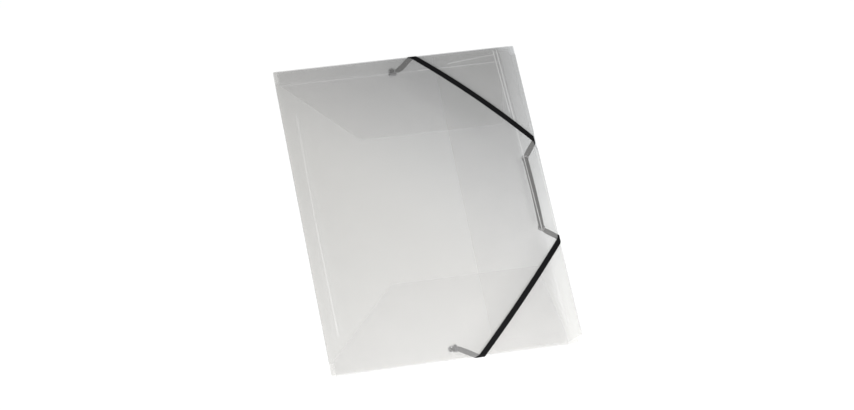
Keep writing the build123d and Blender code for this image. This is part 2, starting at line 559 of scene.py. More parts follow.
def mixed(tree: Tree, share: object, first: object, second: object) -> Socket:
    """Mixes two colours.

    Args:
        tree: The tree to add the node to.
        share: The second colour's share, a number or a socket.
        first: The first colour or its socket.
        second: The second colour or its socket.

    Returns:
        The mixed colour.
    """
    made = tree.nodes.new("ShaderNodeMix")
    made.data_type = "RGBA"
    for number, value in ((0, share), (6, first), (7, second)):
        feed(tree, made.inputs[number], value)
    return made.outputs[2]


def spread_node(
    tree: Tree, value: Socket, kind: str, limits: Sequence[object], turned: bool = False
) -> Socket:
    """Adds a Map Range node that gives a value's share of the way between two limits.

    Args:
        tree: The tree to add it to.
        value: The value.
        kind: How the share rises, as the node names it.
        limits: The low and high limits, numbers or sockets.
        turned: Whether the share falls from 1 to 0 instead.

    Returns:
        The share.
    """
    made = tree.nodes.new("ShaderNodeMapRange")
    made.interpolation_type = kind
    feed(tree, made.inputs["Value"], value)
    feed(tree, made.inputs["From Min"], limits[0])
    feed(tree, made.inputs["From Max"], limits[1])
    if turned:
        made.inputs["To Min"].default_value = 1.0
        made.inputs["To Max"].default_value = 0.0
    return made.outputs[0]


def noise_node(tree: Tree, where: Socket, size: Socket, detail: float) -> Socket:
    """Adds a Noise node.

    Args:
        tree: The tree to add it to.
        where: The place.
        size: The pattern's size, in metres.
        detail: How many finer layers it has.

    Returns:
        The noise.
    """
    made = tree.nodes.new("ShaderNodeTexNoise")
    made.inputs["Detail"].default_value = detail
    feed(tree, made.inputs["Vector"], where)
    feed(tree, made.inputs["Scale"], math_node(tree, "DIVIDE", 1.0, size))
    return made.outputs["Fac"]


def object_place(tree: Tree) -> Socket:
    """The place on the object, which stands in the folder's frame."""
    return tree.nodes.new("ShaderNodeTexCoord").outputs["Object"]


def attribute_value(tree: Tree, name: str) -> Socket:
    """Adds a node that reads one of the mesh's own values.

    Args:
        tree: The tree to add it to.
        name: The attribute's name.

    Returns:
        The value.
    """
    made = tree.nodes.new("ShaderNodeAttribute")
    made.attribute_name = name
    return made.outputs["Fac"]


def add_bump(tree: Tree, shader: bpy.types.Node, height: Socket, strength: float, depth: float) -> None:
    """Gives a shader a fine relief.

    Args:
        tree: The material's tree.
        shader: The Principled shader.
        height: The relief's height, from 0 to 1.
        strength: The relief's strength.
        depth: The relief's depth, in millimetres.
    """
    bump = tree.nodes.new("ShaderNodeBump")
    bump.inputs["Strength"].default_value = strength
    bump.inputs["Distance"].default_value = depth * MM
    tree.links.new(height, bump.inputs["Height"])
    tree.links.new(bump.outputs["Normal"], shader.inputs["Normal"])


def new_group(
    name: str, inputs: dict[str, object], outputs: Sequence[str]
) -> tuple[Tree, bpy.types.NodeOutputs, bpy.types.NodeInputs]:
    """Makes a shader node group with named sockets.

    Args:
        name: The group's name.
        inputs: Each input's default: a number, or a triple for a vector.
        outputs: The outputs, which are all numbers.

    Returns:
        The tree, the values it is given and the sockets for its results.
    """
    tree = bpy.data.node_groups.new(name, "ShaderNodeTree")
    for label, default in inputs.items():
        kind = "NodeSocketFloat" if isinstance(default, float) else "NodeSocketVector"
        tree.interface.new_socket(name=label, in_out="INPUT", socket_type=kind).default_value = default
    for label in outputs:
        tree.interface.new_socket(name=label, in_out="OUTPUT", socket_type="NodeSocketFloat")
    return tree, tree.nodes.new("NodeGroupInput").outputs, tree.nodes.new("NodeGroupOutput").inputs


def use_group(tree: Tree, group: Tree, values: dict[str, object]) -> bpy.types.NodeOutputs:
    """Places a group in a material.

    Args:
        tree: The material's tree.
        group: The group.
        values: What each of its inputs is given.

    Returns:
        The group's outputs.
    """
    made = tree.nodes.new("ShaderNodeGroup")
    made.node_tree = group
    for label, value in values.items():
        feed(tree, made.inputs[label], value)
    return made.outputs


def line_mark_group() -> Tree:
    """A mask that is strongest on a straight stretch across the folder and fades beside and past it.

    Returns:
        The group, with Vector, Start, End, Half Width and Strength inputs and a Mask output.
    """
    tree, given, result = new_group("line_mark", {
        "Vector": (0.0, 0.0, 0.0), "Start": (0.0, 0.0, 0.0), "End": (0.0, 1.0, 0.0),
        "Half Width": 0.001, "Strength": 1.0,
    }, ("Mask",))
    flat = vector_node(tree, "MULTIPLY", given["Vector"], (1, 1, 0))
    run = vector_node(tree, "SUBTRACT", given["End"], given["Start"])
    away = vector_node(tree, "SUBTRACT", flat, given["Start"])
    along = vector_node(tree, "DOT_PRODUCT", away, run, output="Value")
    squared = vector_node(tree, "DOT_PRODUCT", run, run, output="Value")
    share = math_node(tree, "DIVIDE", along, squared, clamp=True)
    nearest = vector_node(tree, "MULTIPLY", run, share)
    gap = vector_node(tree, "DISTANCE", away, nearest, output="Value")
    falloff = spread_node(tree, gap, "SMOOTHSTEP", (0.0, given["Half Width"]), turned=True)
    tree.links.new(math_node(tree, "MULTIPLY", falloff, given["Strength"]), result["Mask"])
    return tree


def frost_group() -> Tree:
    """The fine sand grain and the faint clouding of an extruded frosted sheet.

    Returns:
        The group, with Vector, Grain Size and Cloud Size inputs and Grain and Cloud outputs.
    """
    tree, given, result = new_group(
        "frost", {"Vector": (0.0, 0.0, 0.0), "Grain Size": 0.0004, "Cloud Size": 0.02}, ("Grain", "Cloud")
    )
    for label, detail in (("Grain", 3.0), ("Cloud", 2.0)):
        tree.links.new(noise_node(tree, given["Vector"], given[label + " Size"], detail), result[label])
    return tree


def edge_wear_group() -> Tree:
    """Wear that breaks up into spots.

    Returns:
        The group, with Vector, Size, Low and High inputs and a Wear output.
    """
    tree, given, result = new_group(
        "edge_wear", {"Vector": (0.0, 0.0, 0.0), "Size": 0.001, "Low": 0.5, "High": 0.6}, ("Wear",)
    )
    noise = noise_node(tree, given["Vector"], given["Size"], 4.0)
    tree.links.new(spread_node(tree, noise, "LINEAR", (given["Low"], given["High"])), result["Wear"])
    return tree


@dataclass(frozen=True)
class LineMark:
    """A straight mark on a sheet, in millimetres: a crease, a score or a band of painted shade."""

    start: Spot
    end: Spot
    half_width: float = 0.8
    strength: float = 1.0

    def mask(self, tree: Tree, group: Tree, where: Socket) -> Socket:
        """Places the mark in a material.

        Args:
            tree: The material's tree.
            group: The line mark group.
            where: The place on the sheet.

        Returns:
            The mark's mask.
        """
        return use_group(tree, group, {
            "Vector": where,
            "Start": (self.start[0] * MM, self.start[1] * MM, 0.0),
            "End": (self.end[0] * MM, self.end[1] * MM, 0.0),
            "Half Width": self.half_width * MM,
            "Strength": self.strength,
        })["Mask"]


@dataclass(frozen=True)
class FrostedSheet:
    """Frosted translucent polypropylene: see-through by alpha, whiter where it is creased or cut, and darker
    and less see-through in bands of painted shade.
    """

    body: Colour = (0.534, 0.531, 0.522, 1.0)
    white: Colour = (0.93, 0.93, 0.93, 1.0)
    # Painted shade: the shade colour and shade_alpha darken the sheet and make it less see-through in its
    # shade bands.
    shade: Colour = (0.15, 0.155, 0.165, 1.0)
    body_alpha: float = 0.09
    line_alpha: float = 0.34
    shade_alpha: float = 0.12
    edge_strength: float = 0.08
    grazing_alpha: float = 0.70
    grazing_blend: float = 0.12
    shadow_share: float = 0.25
    white_gain: float = 8.0
    tone_spread: float = 0.25
    cloud_share: float = 0.16
    grain_share: float = 0.10
    roughness: float = 0.42
    roughness_spread: float = 0.16
    grain_size: float = 0.35
    cloud_size: float = 28.0
    grain_strength: float = 0.35
    grain_height: float = 0.012
    refraction: float = 1.49

    def strongest(
        self, tree: Tree, group: Tree, where: Socket, marks: Sequence[LineMark], least: object
    ) -> object:
        """The strongest of several marks at each place.

        Args:
            tree: The material's tree.
            group: The line mark group.
            where: The place on the sheet.
            marks: The marks.
            least: The value where no mark is, a number or a socket.

        Returns:
            The value, a number or a socket.
        """
        for mark in marks:
            least = math_node(tree, "MAXIMUM", least, mark.mask(tree, group, where))
        return least

    def colour(self, tree: Tree, frost: bpy.types.NodeOutputs, whitened: Socket, painted_shade_share: object) -> Socket:
        """The sheet's colour: clouded and grained, darker in bands of painted shade and white at its creases.

        Args:
            tree: The material's tree.
            frost: The frost group's outputs.
            whitened: How far it is whitened.
            painted_shade_share: How far painted shade darkens it.

        Returns:
            The colour.
        """
        clouded = math_node(tree, "MULTIPLY_ADD", frost["Cloud"], self.cloud_share, -self.cloud_share / 2)
        grained = math_node(tree, "MULTIPLY_ADD", frost["Grain"], self.grain_share, -self.grain_share / 2)
        tone = math_node(tree, "ADD", math_node(tree, "ADD", clouded, grained), 0.5, clamp=True)
        dark_body, light_body = (
            tuple(value * spread for value in self.body[:3]) + (1.0,)
            for spread in (1 - self.tone_spread, 1 + self.tone_spread)
        )
        # Painted shade: the colour goes towards the shade colour in the shade bands.
        colour = mixed(tree, painted_shade_share, mixed(tree, tone, dark_body, light_body), self.shade)
        white_share = math_node(tree, "MULTIPLY", whitened, self.white_gain, clamp=True)
        return mixed(tree, white_share, colour, self.white)

    def alpha(self, tree: Tree, whitened: Socket, painted_shade_share: object) -> Socket:
        """How far the sheet covers: more at its marks, in its painted shade and at grazing angles, and less
        for its shadow.

        Args:
            tree: The material's tree.
            whitened: How far it is whitened.
            painted_shade_share: How far painted shade covers it.

        Returns:
            The alpha.
        """
        facing = tree.nodes.new("ShaderNodeLayerWeight")
        facing.inputs["Blend"].default_value = self.grazing_blend
        grazing = math_node(tree, "MULTIPLY", facing.outputs["Facing"], self.grazing_alpha)
        alpha = math_node(tree, "MULTIPLY_ADD", whitened, self.line_alpha, self.body_alpha)
        # Painted shade: the shade bands make the sheet less see-through.
        alpha = math_node(tree, "MULTIPLY_ADD", painted_shade_share, self.shade_alpha, alpha)
        alpha = math_node(tree, "ADD", alpha, grazing, clamp=True)
        shown = math_node(tree, "SUBTRACT", 1.0, attribute_value(tree, "seam_face"))
        alpha = math_node(tree, "MULTIPLY", alpha, shown)
        shadow = tree.nodes.new("ShaderNodeLightPath").outputs["Is Shadow Ray"]
        passed = math_node(tree, "MULTIPLY_ADD", shadow, self.shadow_share - 1.0, 1.0)
        return math_node(tree, "MULTIPLY", alpha, passed)

    def material(
        self, name: str, groups: Groups, lines: Sequence[LineMark] = (), press_and_painted_shade: Sequence[LineMark] = ()
    ) -> Material:
        """Makes the finish for one sheet.

        Args:
            name: The material's name.
            groups: The shared node groups.
            lines: Whitened creases and scores on the sheet.
            press_and_painted_shade: Bands of painted shade, where the sheet is darker and less see-through.

        Returns:
            The material.
        """
        material, tree, shader = new_material(name)
        where = object_place(tree)
        frost = use_group(tree, groups["frost"], {
            "Vector": where, "Grain Size": self.grain_size * MM, "Cloud Size": self.cloud_size * MM,
        })
        cut = math_node(tree, "MULTIPLY", attribute_value(tree, "cut_edge"), self.edge_strength)
        whitened = self.strongest(tree, groups["line_mark"], where, lines, cut)
        # Painted shade: the bands of shade beside the straps and beside the side crease.
        painted_shade_share = self.strongest(tree, groups["line_mark"], where, press_and_painted_shade, 0.0)
        tree.links.new(self.colour(tree, frost, whitened, painted_shade_share), shader.inputs["Base Color"])
        tree.links.new(self.alpha(tree, whitened, painted_shade_share), shader.inputs["Alpha"])
        least_rough = self.roughness - self.roughness_spread / 2
        rough = math_node(tree, "MULTIPLY_ADD", frost["Grain"], self.roughness_spread, least_rough)
        tree.links.new(rough, shader.inputs["Roughness"])
        add_bump(tree, shader, frost["Grain"], self.grain_strength, self.grain_height)
        shader.inputs["IOR"].default_value = self.refraction
        return material


@dataclass(frozen=True)
class WovenElastic:
    """Black covered elastic: dark yarn with a faint sheen on its ribs."""

    yarn: Colour = (0.0035, 0.0035, 0.004, 1.0)
    lint: Colour = (0.017, 0.017, 0.0185, 1.0)
    lint_size: float = 0.45
    lint_low: float = 0.46
    lint_high: float = 0.72
    lint_height: float = 0.3
    pitch: float = 0.55
    weave_strength: float = 0.6
    weave_depth: float = 0.05
    roughness: float = 0.75
    specular: float = 0.16
    sheen: float = 0.015
    sheen_roughness: float = 0.4

    def material(self, groups: Groups) -> Material:
        """Makes the finish.

        Args:
            groups: The shared node groups.

        Returns:
            The material.
        """
        material, tree, shader = new_material("woven_elastic")
        wear = use_group(tree, groups["edge_wear"], {
            "Vector": object_place(tree), "Size": self.lint_size * MM,
            "Low": self.lint_low, "High": self.lint_high,
        })["Wear"]
        tree.links.new(mixed(tree, wear, self.yarn, self.lint), shader.inputs["Base Color"])
        turns = math_node(tree, "MULTIPLY", attribute_value(tree, "along"), 2 * pi / (self.pitch * MM))
        weft = math_node(tree, "MULTIPLY_ADD", math_node(tree, "SINE", turns), 0.5, 0.5)
        height = math_node(tree, "MULTIPLY_ADD", wear, self.lint_height, weft)
        add_bump(tree, shader, height, self.weave_strength, self.weave_depth)
        shader.inputs["Roughness"].default_value = self.roughness
        shader.inputs["Specular IOR Level"].default_value = self.specular
        shader.inputs["Sheen Weight"].default_value = self.sheen
        shader.inputs["Sheen Roughness"].default_value = self.sheen_roughness
        return material


@dataclass(frozen=True)
class PlatedMetal:
    """Nickel-plated metal with slightly duller worn spots."""

    name: str
    plate: Colour
    worn: Colour
    roughness: float
    spot_size: float = 0.6
    worn_roughness: float = 0.18

    def material(self, groups: Groups) -> Material:
        """Makes the finish.

        Args:
            groups: The shared node groups.

        Returns:
            The material.
        """
        material, tree, shader = new_material(self.name)
        values = {"Vector": object_place(tree), "Size": self.spot_size * MM}
        wear = use_group(tree, groups["edge_wear"], values)["Wear"]
        tree.links.new(mixed(tree, wear, self.plate, self.worn), shader.inputs["Base Color"])
        rough = math_node(tree, "MULTIPLY_ADD", wear, self.worn_roughness, self.roughness)
        tree.links.new(rough, shader.inputs["Roughness"])
        shader.inputs["Metallic"].default_value = 1.0
        return material


@dataclass(frozen=True)
class StrapPlaces:
    """Where the elastic crosses the outline, and how far it presses the edges in, in millimetres.

    Places along the top and bottom edges are in x, and places along the outer edge are in y.
    """

    top: float = 18.2
    bottom: float = 21.6
    upper: float = 55.4
    lower: float = -54.0
    top_drift: float = 4.2
    bottom_drift: float = 3.2
    upper_drift: float = 2.4
    lower_drift: float = 5.5
    end_pinch: float = 1.1
    upper_pinch: float = 2.8
    lower_pinch: float = 1.2
    pinch_flat: float = 2.5
    pinch_reach: float = 6.0
    upper_bow: float = 3.2
    lower_bow: float = 1.4

    def press_share(self, away: float) -> float:
        """Share of a strap's press that is left at a distance from its middle."""
        return 1 - smoothstep(self.pinch_flat, self.pinch_reach + self.pinch_flat, abs(away))

    def end_press(self, x: float, sign: int) -> float:
        """How far the top (sign 1) or bottom (sign -1) edge is pushed in at x."""
        centre = self.top - self.top_drift / 2 if sign > 0 else self.bottom - self.bottom_drift / 2
        return self.end_pinch * self.press_share(x - centre)

    def side_press(self, y: float) -> float:
        """How far the outer edge is pushed in at y."""
        centre = self.upper - self.upper_drift / 2 if y > 0 else self.lower + self.lower_drift / 2
        return self.side_pinch(1 if y > 0 else -1) * self.press_share(y - centre)

    def side_pinch(self, sign: int) -> float:
        """How far the upper (sign 1) or lower (sign -1) strap presses the outer edge in."""
        return self.upper_pinch if sign > 0 else self.lower_pinch


@dataclass
class Sheets:
    """The folder's panels, gussets, flaps and folds of frosted sheet."""

    frame: FolderFrame
    groups: Groups
    straps: StrapPlaces
    finish: FrostedSheet = field(default_factory=FrostedSheet)
    step: float = 4.0
    edge_band: float = 0.7
    groove: float = 0.12
    groove_reach: float = 1.0
    round_steps: int = 5
    press_full: float = 0.6
    press_begin: float = 0.4
    end_press_reach: float = 14.0
    strap_reach: float = 42.0
    cover_bulge: float = 1.5
    bulge_past_crease: float = 55.0
    bulge_past_ends: float = 60.0
    bulge_past_edge: Spot = (-10.0, 50.0)
    spine_turns: int = 12
    side_turns: int = 10
    end_turns: int = 8
    cover_corner: float = 3.0
    cover_gap_top: float = 4.6
    cover_gap_bottom: float = 0.8
    slot_width: float = 1.5
    slot_length: float = 9.1
    slot_from_fold: float = 2.2
    slot_from_end: float = 2.6
    notch: float = 12.0
    outer_notch: float = 5.5
    eyelet_hole: float = 2.35
    side_inset_at_crease: float = 3.0
    side_inset_at_fold: float = 8.6
    side_flap_inset: float = 2.0
    side_flap_corner: float = 4.5
    side_flap_skew: float = 1.5
    end_flap_slant: float = 68.0
    end_flap_lead: float = 12.0
    end_flap_corner: float = 3.0

    @property
    def upper_strap(self) -> Line:
        """The upper strap's line over the cover."""
        return (self.straps.top, self.frame.top), (self.frame.right, self.straps.upper)

    @property
    def lower_strap(self) -> Line:
        """The lower strap's line over the cover."""
        return (self.straps.bottom, -self.frame.top), (self.frame.right, self.straps.lower)

    @property
    def thickness(self) -> float:
        """The sheet's thickness."""
        return self.frame.cover_high - self.frame.cover_low

    def fold_place(self, panel_low: float, outline: float, along_s: float) -> Spot:
        """Outward place and level of a fold's middle surface.

        Args:
            panel_low: Underside of the panel that the fold leads to.
            outline: Outward place of the fold's outer side.
            along_s: Distance along the fold from the back's level.

        Returns:
            Outward place and level.
        """
        half = self.thickness / 2
        radius = (panel_low - self.frame.back_low) / 2
        centre_z = self.frame.back_low + half + radius
        centre_out = outline - half - radius
        if along_s < pi * radius:
            turn = along_s / radius - pi / 2
            return centre_out + radius * cos(turn), centre_z + radius * sin(turn)
        return centre_out - (along_s - pi * radius), centre_z + radius

    def fold_run(self, panel_low: float, outline: float, crease: float) -> Spot:
        """Lengths along a fold and its panel's first strip.

        Args:
            panel_low: Underside of the panel that the fold leads to.
            outline: Outward place of the fold's outer side.
            crease: Outward place of the panel's crease.

        Returns:
            Length round the fold, and the whole length from the back to the crease.
        """
        radius = (panel_low - self.frame.back_low) / 2
        around = pi * radius
        return around, around + outline - self.thickness / 2 - radius - crease

    def dip(self, away: float) -> float:
        """Depth of a crease's groove at a distance from the crease."""
        return self.groove * (1 - smoothstep(0.0, self.groove_reach, away))

    def fold_share(self, u: float, around: float, whole: float) -> float:
        """Share of a strap's press at u along a wrap: 0 at the back and the crease, most round the fold."""
        return smoothstep(whole, around * self.press_full, u) * smoothstep(0.0, around * self.press_begin, u)

    def wrap_stations(self, around: float, whole: float, turns: int, extra: Sequence[float]) -> list[float]:
        """Places along a wrap, close together round its fold, with extra ones beyond it."""
        return stations(0.0, around, around / turns) + stations(around, whole, self.step, extra)[1:]

    def panel(self, name: str, length: float, half: float, corner: float, place: Place, low: float) -> Piece:
        """Builds a flat panel that carries on from a crease and is rounded at its two far corners.

        Args:
            name: The piece's name.
            length: Length from the crease.
            half: Half the width along the crease.
            corner: Radius of the corners.
            place: Gives a point of the squared-off panel: its u and v there, and its middle level.
            low: The panel's underside.

        Returns:
            The new object.
        """
        middle = low + self.thickness / 2

        def bent(u: float, v: float) -> Point:
            """A point of the panel at u from the crease and v along it, with its corners rounded.

            Args:
                u: Place along the panel from its crease.
                v: Place along the crease.

            Returns:
                The point.
            """
            moved_u, moved_v = rounded(u, v, length, half if v > 0 else -half, corner)
            x, y, rise = place(moved_u, moved_v)
            return x, y, middle + rise - self.dip(u)

        near = [corner * part / self.round_steps for part in range(1, self.round_steps + 1)]
        near.append(self.edge_band)
        us = stations(0.0, length, self.step, (1.0, 2.0, *near_ends(0.0, length, near)))
        vs = stations(-half, half, self.step, near_ends(-half, half, near))
        return Sheet(name, us, vs, bent, self.thickness, (Joined.START_U,)).build()

    def wrap(
        self, name: str, us: list[float], vs: list[float], place: Place,
        left_out: Optional[Callable[[float, float], bool]] = None,
    ) -> Piece:
        """Builds a rounded fold with the strip that it leads to, joined to other pieces at both borders.

        Args:
            name: The piece's name.
            us: Places along the fold's profile.
            vs: Places along the fold.
            place: Gives a point of the middle surface.
            left_out: Whether a cell is cut away.

        Returns:
            The new object.
        """
        return Sheet(name, us, vs, place, self.thickness, (Joined.START_U, Joined.END_U), left_out).build()

    def strap_drop(self, x: float, y: float) -> float:
        """Share of the cover's bulge that is left at a place.

        Args:
            x: Place across the folder.
            y: Place along the folder.

        Returns:
            The share, 0 under the straps and 1 away from them.
        """
        left = 1.0
        for start, end in (self.upper_strap, self.lower_strap):
            run_x = end[0] - start[0]
            run_y = end[1] - start[1]
            length = hypot(run_x, run_y)
            gap = abs((x - start[0]) * run_y - (y - start[1]) * run_x) / length
            left = min(left, smoothstep(0.0, self.strap_reach, gap))
        return left

    def cover_rise(self, x: float, y: float) -> float:
        """Height of the cover's bulge above its flat place.

        Args:
            x: Place across the folder.
            y: Place along the folder.

        Returns:
            The height.
        """
        frame = self.frame
        from_crease = smoothstep(0.0, self.bulge_past_crease, x - frame.spine_crease)
        from_ends = smoothstep(0.0, self.bulge_past_ends, frame.top - abs(y))
        from_edge = smoothstep(*self.bulge_past_edge, frame.right - x)
        return self.cover_bulge * from_crease * from_ends * from_edge * self.strap_drop(x, y)

    def make_spine(self) -> Piece:
        """The spine strip, with its rounded fold, its notches and a relief slot near each end.

        Returns:
            The new object.
        """
        frame = self.frame
        outline = -frame.left
        around, whole = self.fold_run(frame.cover_low, outline, -frame.spine_crease)

        def place(u: float, v: float) -> Point:
            """A point of the spine at u along the profile and v along the folder."""
            outward, level = self.fold_place(frame.cover_low, outline, u)
            return -outward, v, level - self.dip(whole - u)

        radius = (frame.cover_low - frame.back_low) / 2
        slot_start = around + self.slot_from_fold - self.thickness / 2 - radius
        slot_end = slot_start + self.slot_width
        slot_top = frame.top - self.slot_from_end
        slot_bottom = slot_top - self.slot_length
        notch_end = frame.top - self.notch

        def left_out(u: float, v: float) -> bool:
            """Whether a cell is in a slot or in the notch of the lower half of the fold.

            Args:
                u: Place along the profile from the back.
                v: Place along the crease.

            Returns:
                Whether it is.
            """
            in_slot = slot_start < u < slot_end and slot_bottom < abs(v) < slot_top
            in_notch = u < around * 0.5 and abs(v) > notch_end
            return in_slot or in_notch

        us = self.wrap_stations(around, whole, self.spine_turns, (
            slot_start, slot_end, *near_ends(around, whole, (self.edge_band, 1.5))))
        lines = (slot_top, slot_bottom, -slot_top, -slot_bottom, notch_end, -notch_end)
        vs = stations(-frame.top, frame.top, self.step, (
            *lines, *near_ends(-frame.top, frame.top, (self.edge_band,))))
        made = self.wrap("spine_wrap", us, vs, place, left_out)
        return paint(made, self.finish.material("sheet_spine", self.groups, self.spine_lines()))

    def spine_lines(self) -> tuple[LineMark, ...]:
        """The crease beside the spine, with its fainter twins.

        Returns:
            The marks.
        """
        return (
            LineMark((-105.9, 112), (-107.7, 0), 0.9, 0.15),
            LineMark((-107.7, 0), (-107.2, -122), 0.9, 0.17),
            LineMark((-102.4, 92), (-103.8, 0), 0.8, 0.07),
            LineMark((-103.8, 0), (-103.2, -118), 0.8, 0.06),
            LineMark((-111.6, 0), (-111.0, -128), 0.8, 0.06),
        )

    def make_cover(self) -> Piece:
        """The cover: slightly crowned, held down by the straps, with its outer edge askew and bands of painted
        shade beside the straps.

        Returns:
            The new object.
        """
        frame = self.frame
        length = frame.right - frame.spine_crease

        def place(u: float, v: float) -> Point:
            """A point of the cover at u from the crease and v along the folder.

            Args:
                u: Place along the panel from its crease.
                v: Place along the crease.

            Returns:
                The point.
            """
            share = (v + frame.top) / (2 * frame.top)
            gap = self.cover_gap_bottom + (self.cover_gap_top - self.cover_gap_bottom) * share
            x = frame.spine_crease + u * (length - gap) / length
            sign = 1 if v > 0 else -1
            near_end = 1 - smoothstep(0.0, self.end_press_reach, frame.top - abs(v))
            return x, v - sign * near_end * self.straps.end_press(x, sign), self.cover_rise(x, v)

        made = self.panel("cover_sheet", length, frame.top, self.cover_corner, place, frame.cover_low)
        # Painted shade: soft darker bands beside the upper strap, fading out along it, and beside the lower
        # strap.
        start, end = self.shifted(self.upper_strap, -12.0)
        fades_at = (start[0] + 0.6 * (end[0] - start[0]), start[1] + 0.6 * (end[1] - start[1]))
        press_and_painted_shade = (
            LineMark(start, fades_at, 34.0, 0.3),
            LineMark(*self.shifted(self.lower_strap, 7.0), 22.0, 0.3),
        )
        return paint(made, self.finish.material("sheet_cover", self.groups, self.spine_lines(), press_and_painted_shade))

    def shifted(
        self, strap: Line, away: float
    ) -> Line:
        """A strap's line moved sideways, to the right of its run where away is positive.

        Args:
            strap: The line.
            away: How far it moves, in millimetres.

        Returns:
            The moved line.
        """
        start, end = Vector(strap[0]), Vector(strap[1])
        run = (end - start).normalized() * away
        side = Vector((run.y, -run.x))
        return tuple(start - side), tuple(end - side)

    def side_lines(self) -> tuple[LineMark, ...]:
        """The side crease, which runs a little askew, and its twin.

        Returns:
            The marks.
        """
        return (
            LineMark((101.2, 158), (104.0, 0), 0.8, 0.85),
            LineMark((104.0, 0), (104.5, -40), 0.8, 0.8),
            LineMark((104.5, -40), (107.8, -143), 0.8, 0.16),
            LineMark((97.8, 158), (100.0, 88), 0.8, 0.8),
            LineMark((102.4, -92), (104.4, -132), 0.7, 0.12),
        )

    def side_shades(self) -> tuple[LineMark, ...]:
        """Painted shade beside the side crease's upper part, and a painted shadow band beside the inner
        elastic.

        Returns:
            The marks.
        """
        return (
            LineMark((99.6, 158), (101.6, 70), 1.0, 0.6),
            LineMark((102.9, 158), (105.2, 60), 1.0, 0.6),
            LineMark((99.0, 34), (99.8, -30), 6.5, 0.35),
        )

    def side_half(self, x: float) -> float:
        """Half the side gusset's length at a place between its crease and its fold.

        Args:
            x: Place across the folder.

        Returns:
            The half length.
        """
        frame = self.frame
        share = min(1.0, (x - frame.side_crease) / (frame.right - 1.0 - frame.side_crease))
        inset = self.side_inset_at_crease + (self.side_inset_at_fold - self.side_inset_at_crease) * share
        return frame.top - inset

    def make_side_gusset(self) -> Piece:
        """The side gusset with its rounded fold.

        Returns:
            The new object.
        """
        frame = self.frame
        around, whole = self.fold_run(frame.side_low, frame.right, frame.side_crease)

        def place(u: float, v: float) -> Point:
            """A point of the gusset at u along the profile and share v of its half length.

            Args:
                u: Place along the profile from the back.
                v: Share of the half length.

            Returns:
                The point.
            """
            outward, level = self.fold_place(frame.side_low, frame.right, u)
            y = v * self.side_half(outward)
            press_and_painted_shade = self.fold_share(u, around, whole) * self.straps.side_press(y)
            return outward - press_and_painted_shade, y, level - self.dip(whole - u)

        us = self.wrap_stations(around, whole, self.side_turns, near_ends(around, whole, (1.0,)))
        vs = stations(-1.0, 1.0, self.step / frame.top)
        vs = sorted(set(vs + near_ends(-1, 1, (self.edge_band / frame.top,))))
        made = self.wrap("side_gusset_sheet", us, vs, place)
        return paint(made, self.finish.material(
            "sheet_side_gusset", self.groups, self.side_lines(), self.side_shades()
        ))

    def make_side_flap(self) -> Piece:
        """The side flap, which lies over the end flaps.

        Returns:
            The new object.
        """
        frame = self.frame
        depth = frame.side_crease - frame.side_free
        high = frame.top - self.side_flap_inset

        def place(u: float, v: float) -> Point:
            """A point of the flap at u from the crease and v along the folder.

            Args:
                u: Place along the panel from its crease.
                v: Place along the crease.

            Returns:
                The point.
            """
            skew = self.side_flap_skew * (v / high) * u / depth
            ends = 1 - (self.side_inset_at_crease - self.side_flap_inset) / high * (1 - u / depth)
            return frame.side_crease - u + skew, v * ends, 0.0

        made = self.panel("side_flap_sheet", depth, high, self.side_flap_corner, place, frame.side_low)
        return paint(made, self.finish.material(
            "sheet_side_flap", self.groups, self.side_lines(), self.side_shades()
        ))

    def end_lines(self, sign: int) -> tuple[LineMark, ...]:
        """Creases of the top (sign 1) or bottom (sign -1) gusset, as they lie in the sheet.

        Args:
            sign: 1 for the top one, -1 for the bottom one.

        Returns:
            The marks.
        """
        if sign > 0:
            return (
                LineMark((-118.7, 144.6), (20.0, 144.6), 0.8, 0.45),
                LineMark((20.0, 144.6), (100.5, 144.6), 0.9, 0.8),
                LineMark((51.0, 148.6), (98.3, 153.2), 0.9, 0.8),
            )
        return (
            LineMark((-112.0, -146.6), (20.0, -147.0), 0.75, 0.05),
            LineMark((40.0, -147.0), (107.0, -147.0), 0.75, 0.12),
            LineMark((-118.0, -142.4), (-52.0, -78.0), 0.9, 0.14),
        )

    def make_end_gusset(self, sign: int, name: str) -> Piece:
        """The top or bottom gusset with its rounded fold.

        Args:
            sign: 1 for the top one, -1 for the bottom one.
            name: The piece's name.

        Returns:
            The new object.
        """
        frame = self.frame
        around, whole = self.fold_run(frame.end_low, frame.top, frame.end_crease)

        def place(u: float, v: float) -> Point:
            """A point of the gusset at u along the profile and v across the folder.

            Args:
                u: Place along the profile from the back.
                v: Place along the crease.

            Returns:
                The point.
            """
            outward, level = self.fold_place(frame.end_low, frame.top, u)
            press_and_painted_shade = self.fold_share(u, around, whole) * self.straps.end_press(v, sign)
            return v, sign * (outward - press_and_painted_shade), level - self.dip(whole - u)

        us = self.wrap_stations(around, whole, self.end_turns, near_ends(around, whole, (1.0,)))
        vs = stations(frame.end_left, frame.end_right, self.step, (
            near_ends(frame.end_left, frame.end_right, (self.edge_band,))))
        made = self.wrap(name, us, vs, place)
        return paint(made, self.finish.material("sheet_" + name, self.groups, self.end_lines(sign)))

    def make_end_flap(self, sign: int, name: str) -> Piece:
        """The top or bottom flap, with its long slant on the spine side.

        Args:
            sign: 1 for the top one, -1 for the bottom one.
            name: The piece's name.

        Returns:
            The new object.
        """
        frame = self.frame
        depth = frame.end_crease - frame.end_free
        half = (frame.end_right - frame.end_left) / 2
        centre = (frame.end_right + frame.end_left) / 2

        def place(u: float, v: float) -> Point:
            """A point of the flap at u from the crease and v across the folder.

            Args:
                u: Place along the panel from its crease.
                v: Place along the crease.

            Returns:
                The point.
            """
            share = u / depth
            low_x = centre - half + self.end_flap_slant * share
            high_x = centre + half - self.end_flap_lead * share
            x = low_x + (high_x - low_x) * (v + half) / (2 * half)
            return x, sign * (frame.end_crease - u), 0.0

        made = self.panel(name, depth, half, self.end_flap_corner, place, frame.end_low)
        return paint(made, self.finish.material("sheet_" + name, self.groups, self.end_lines(sign)))

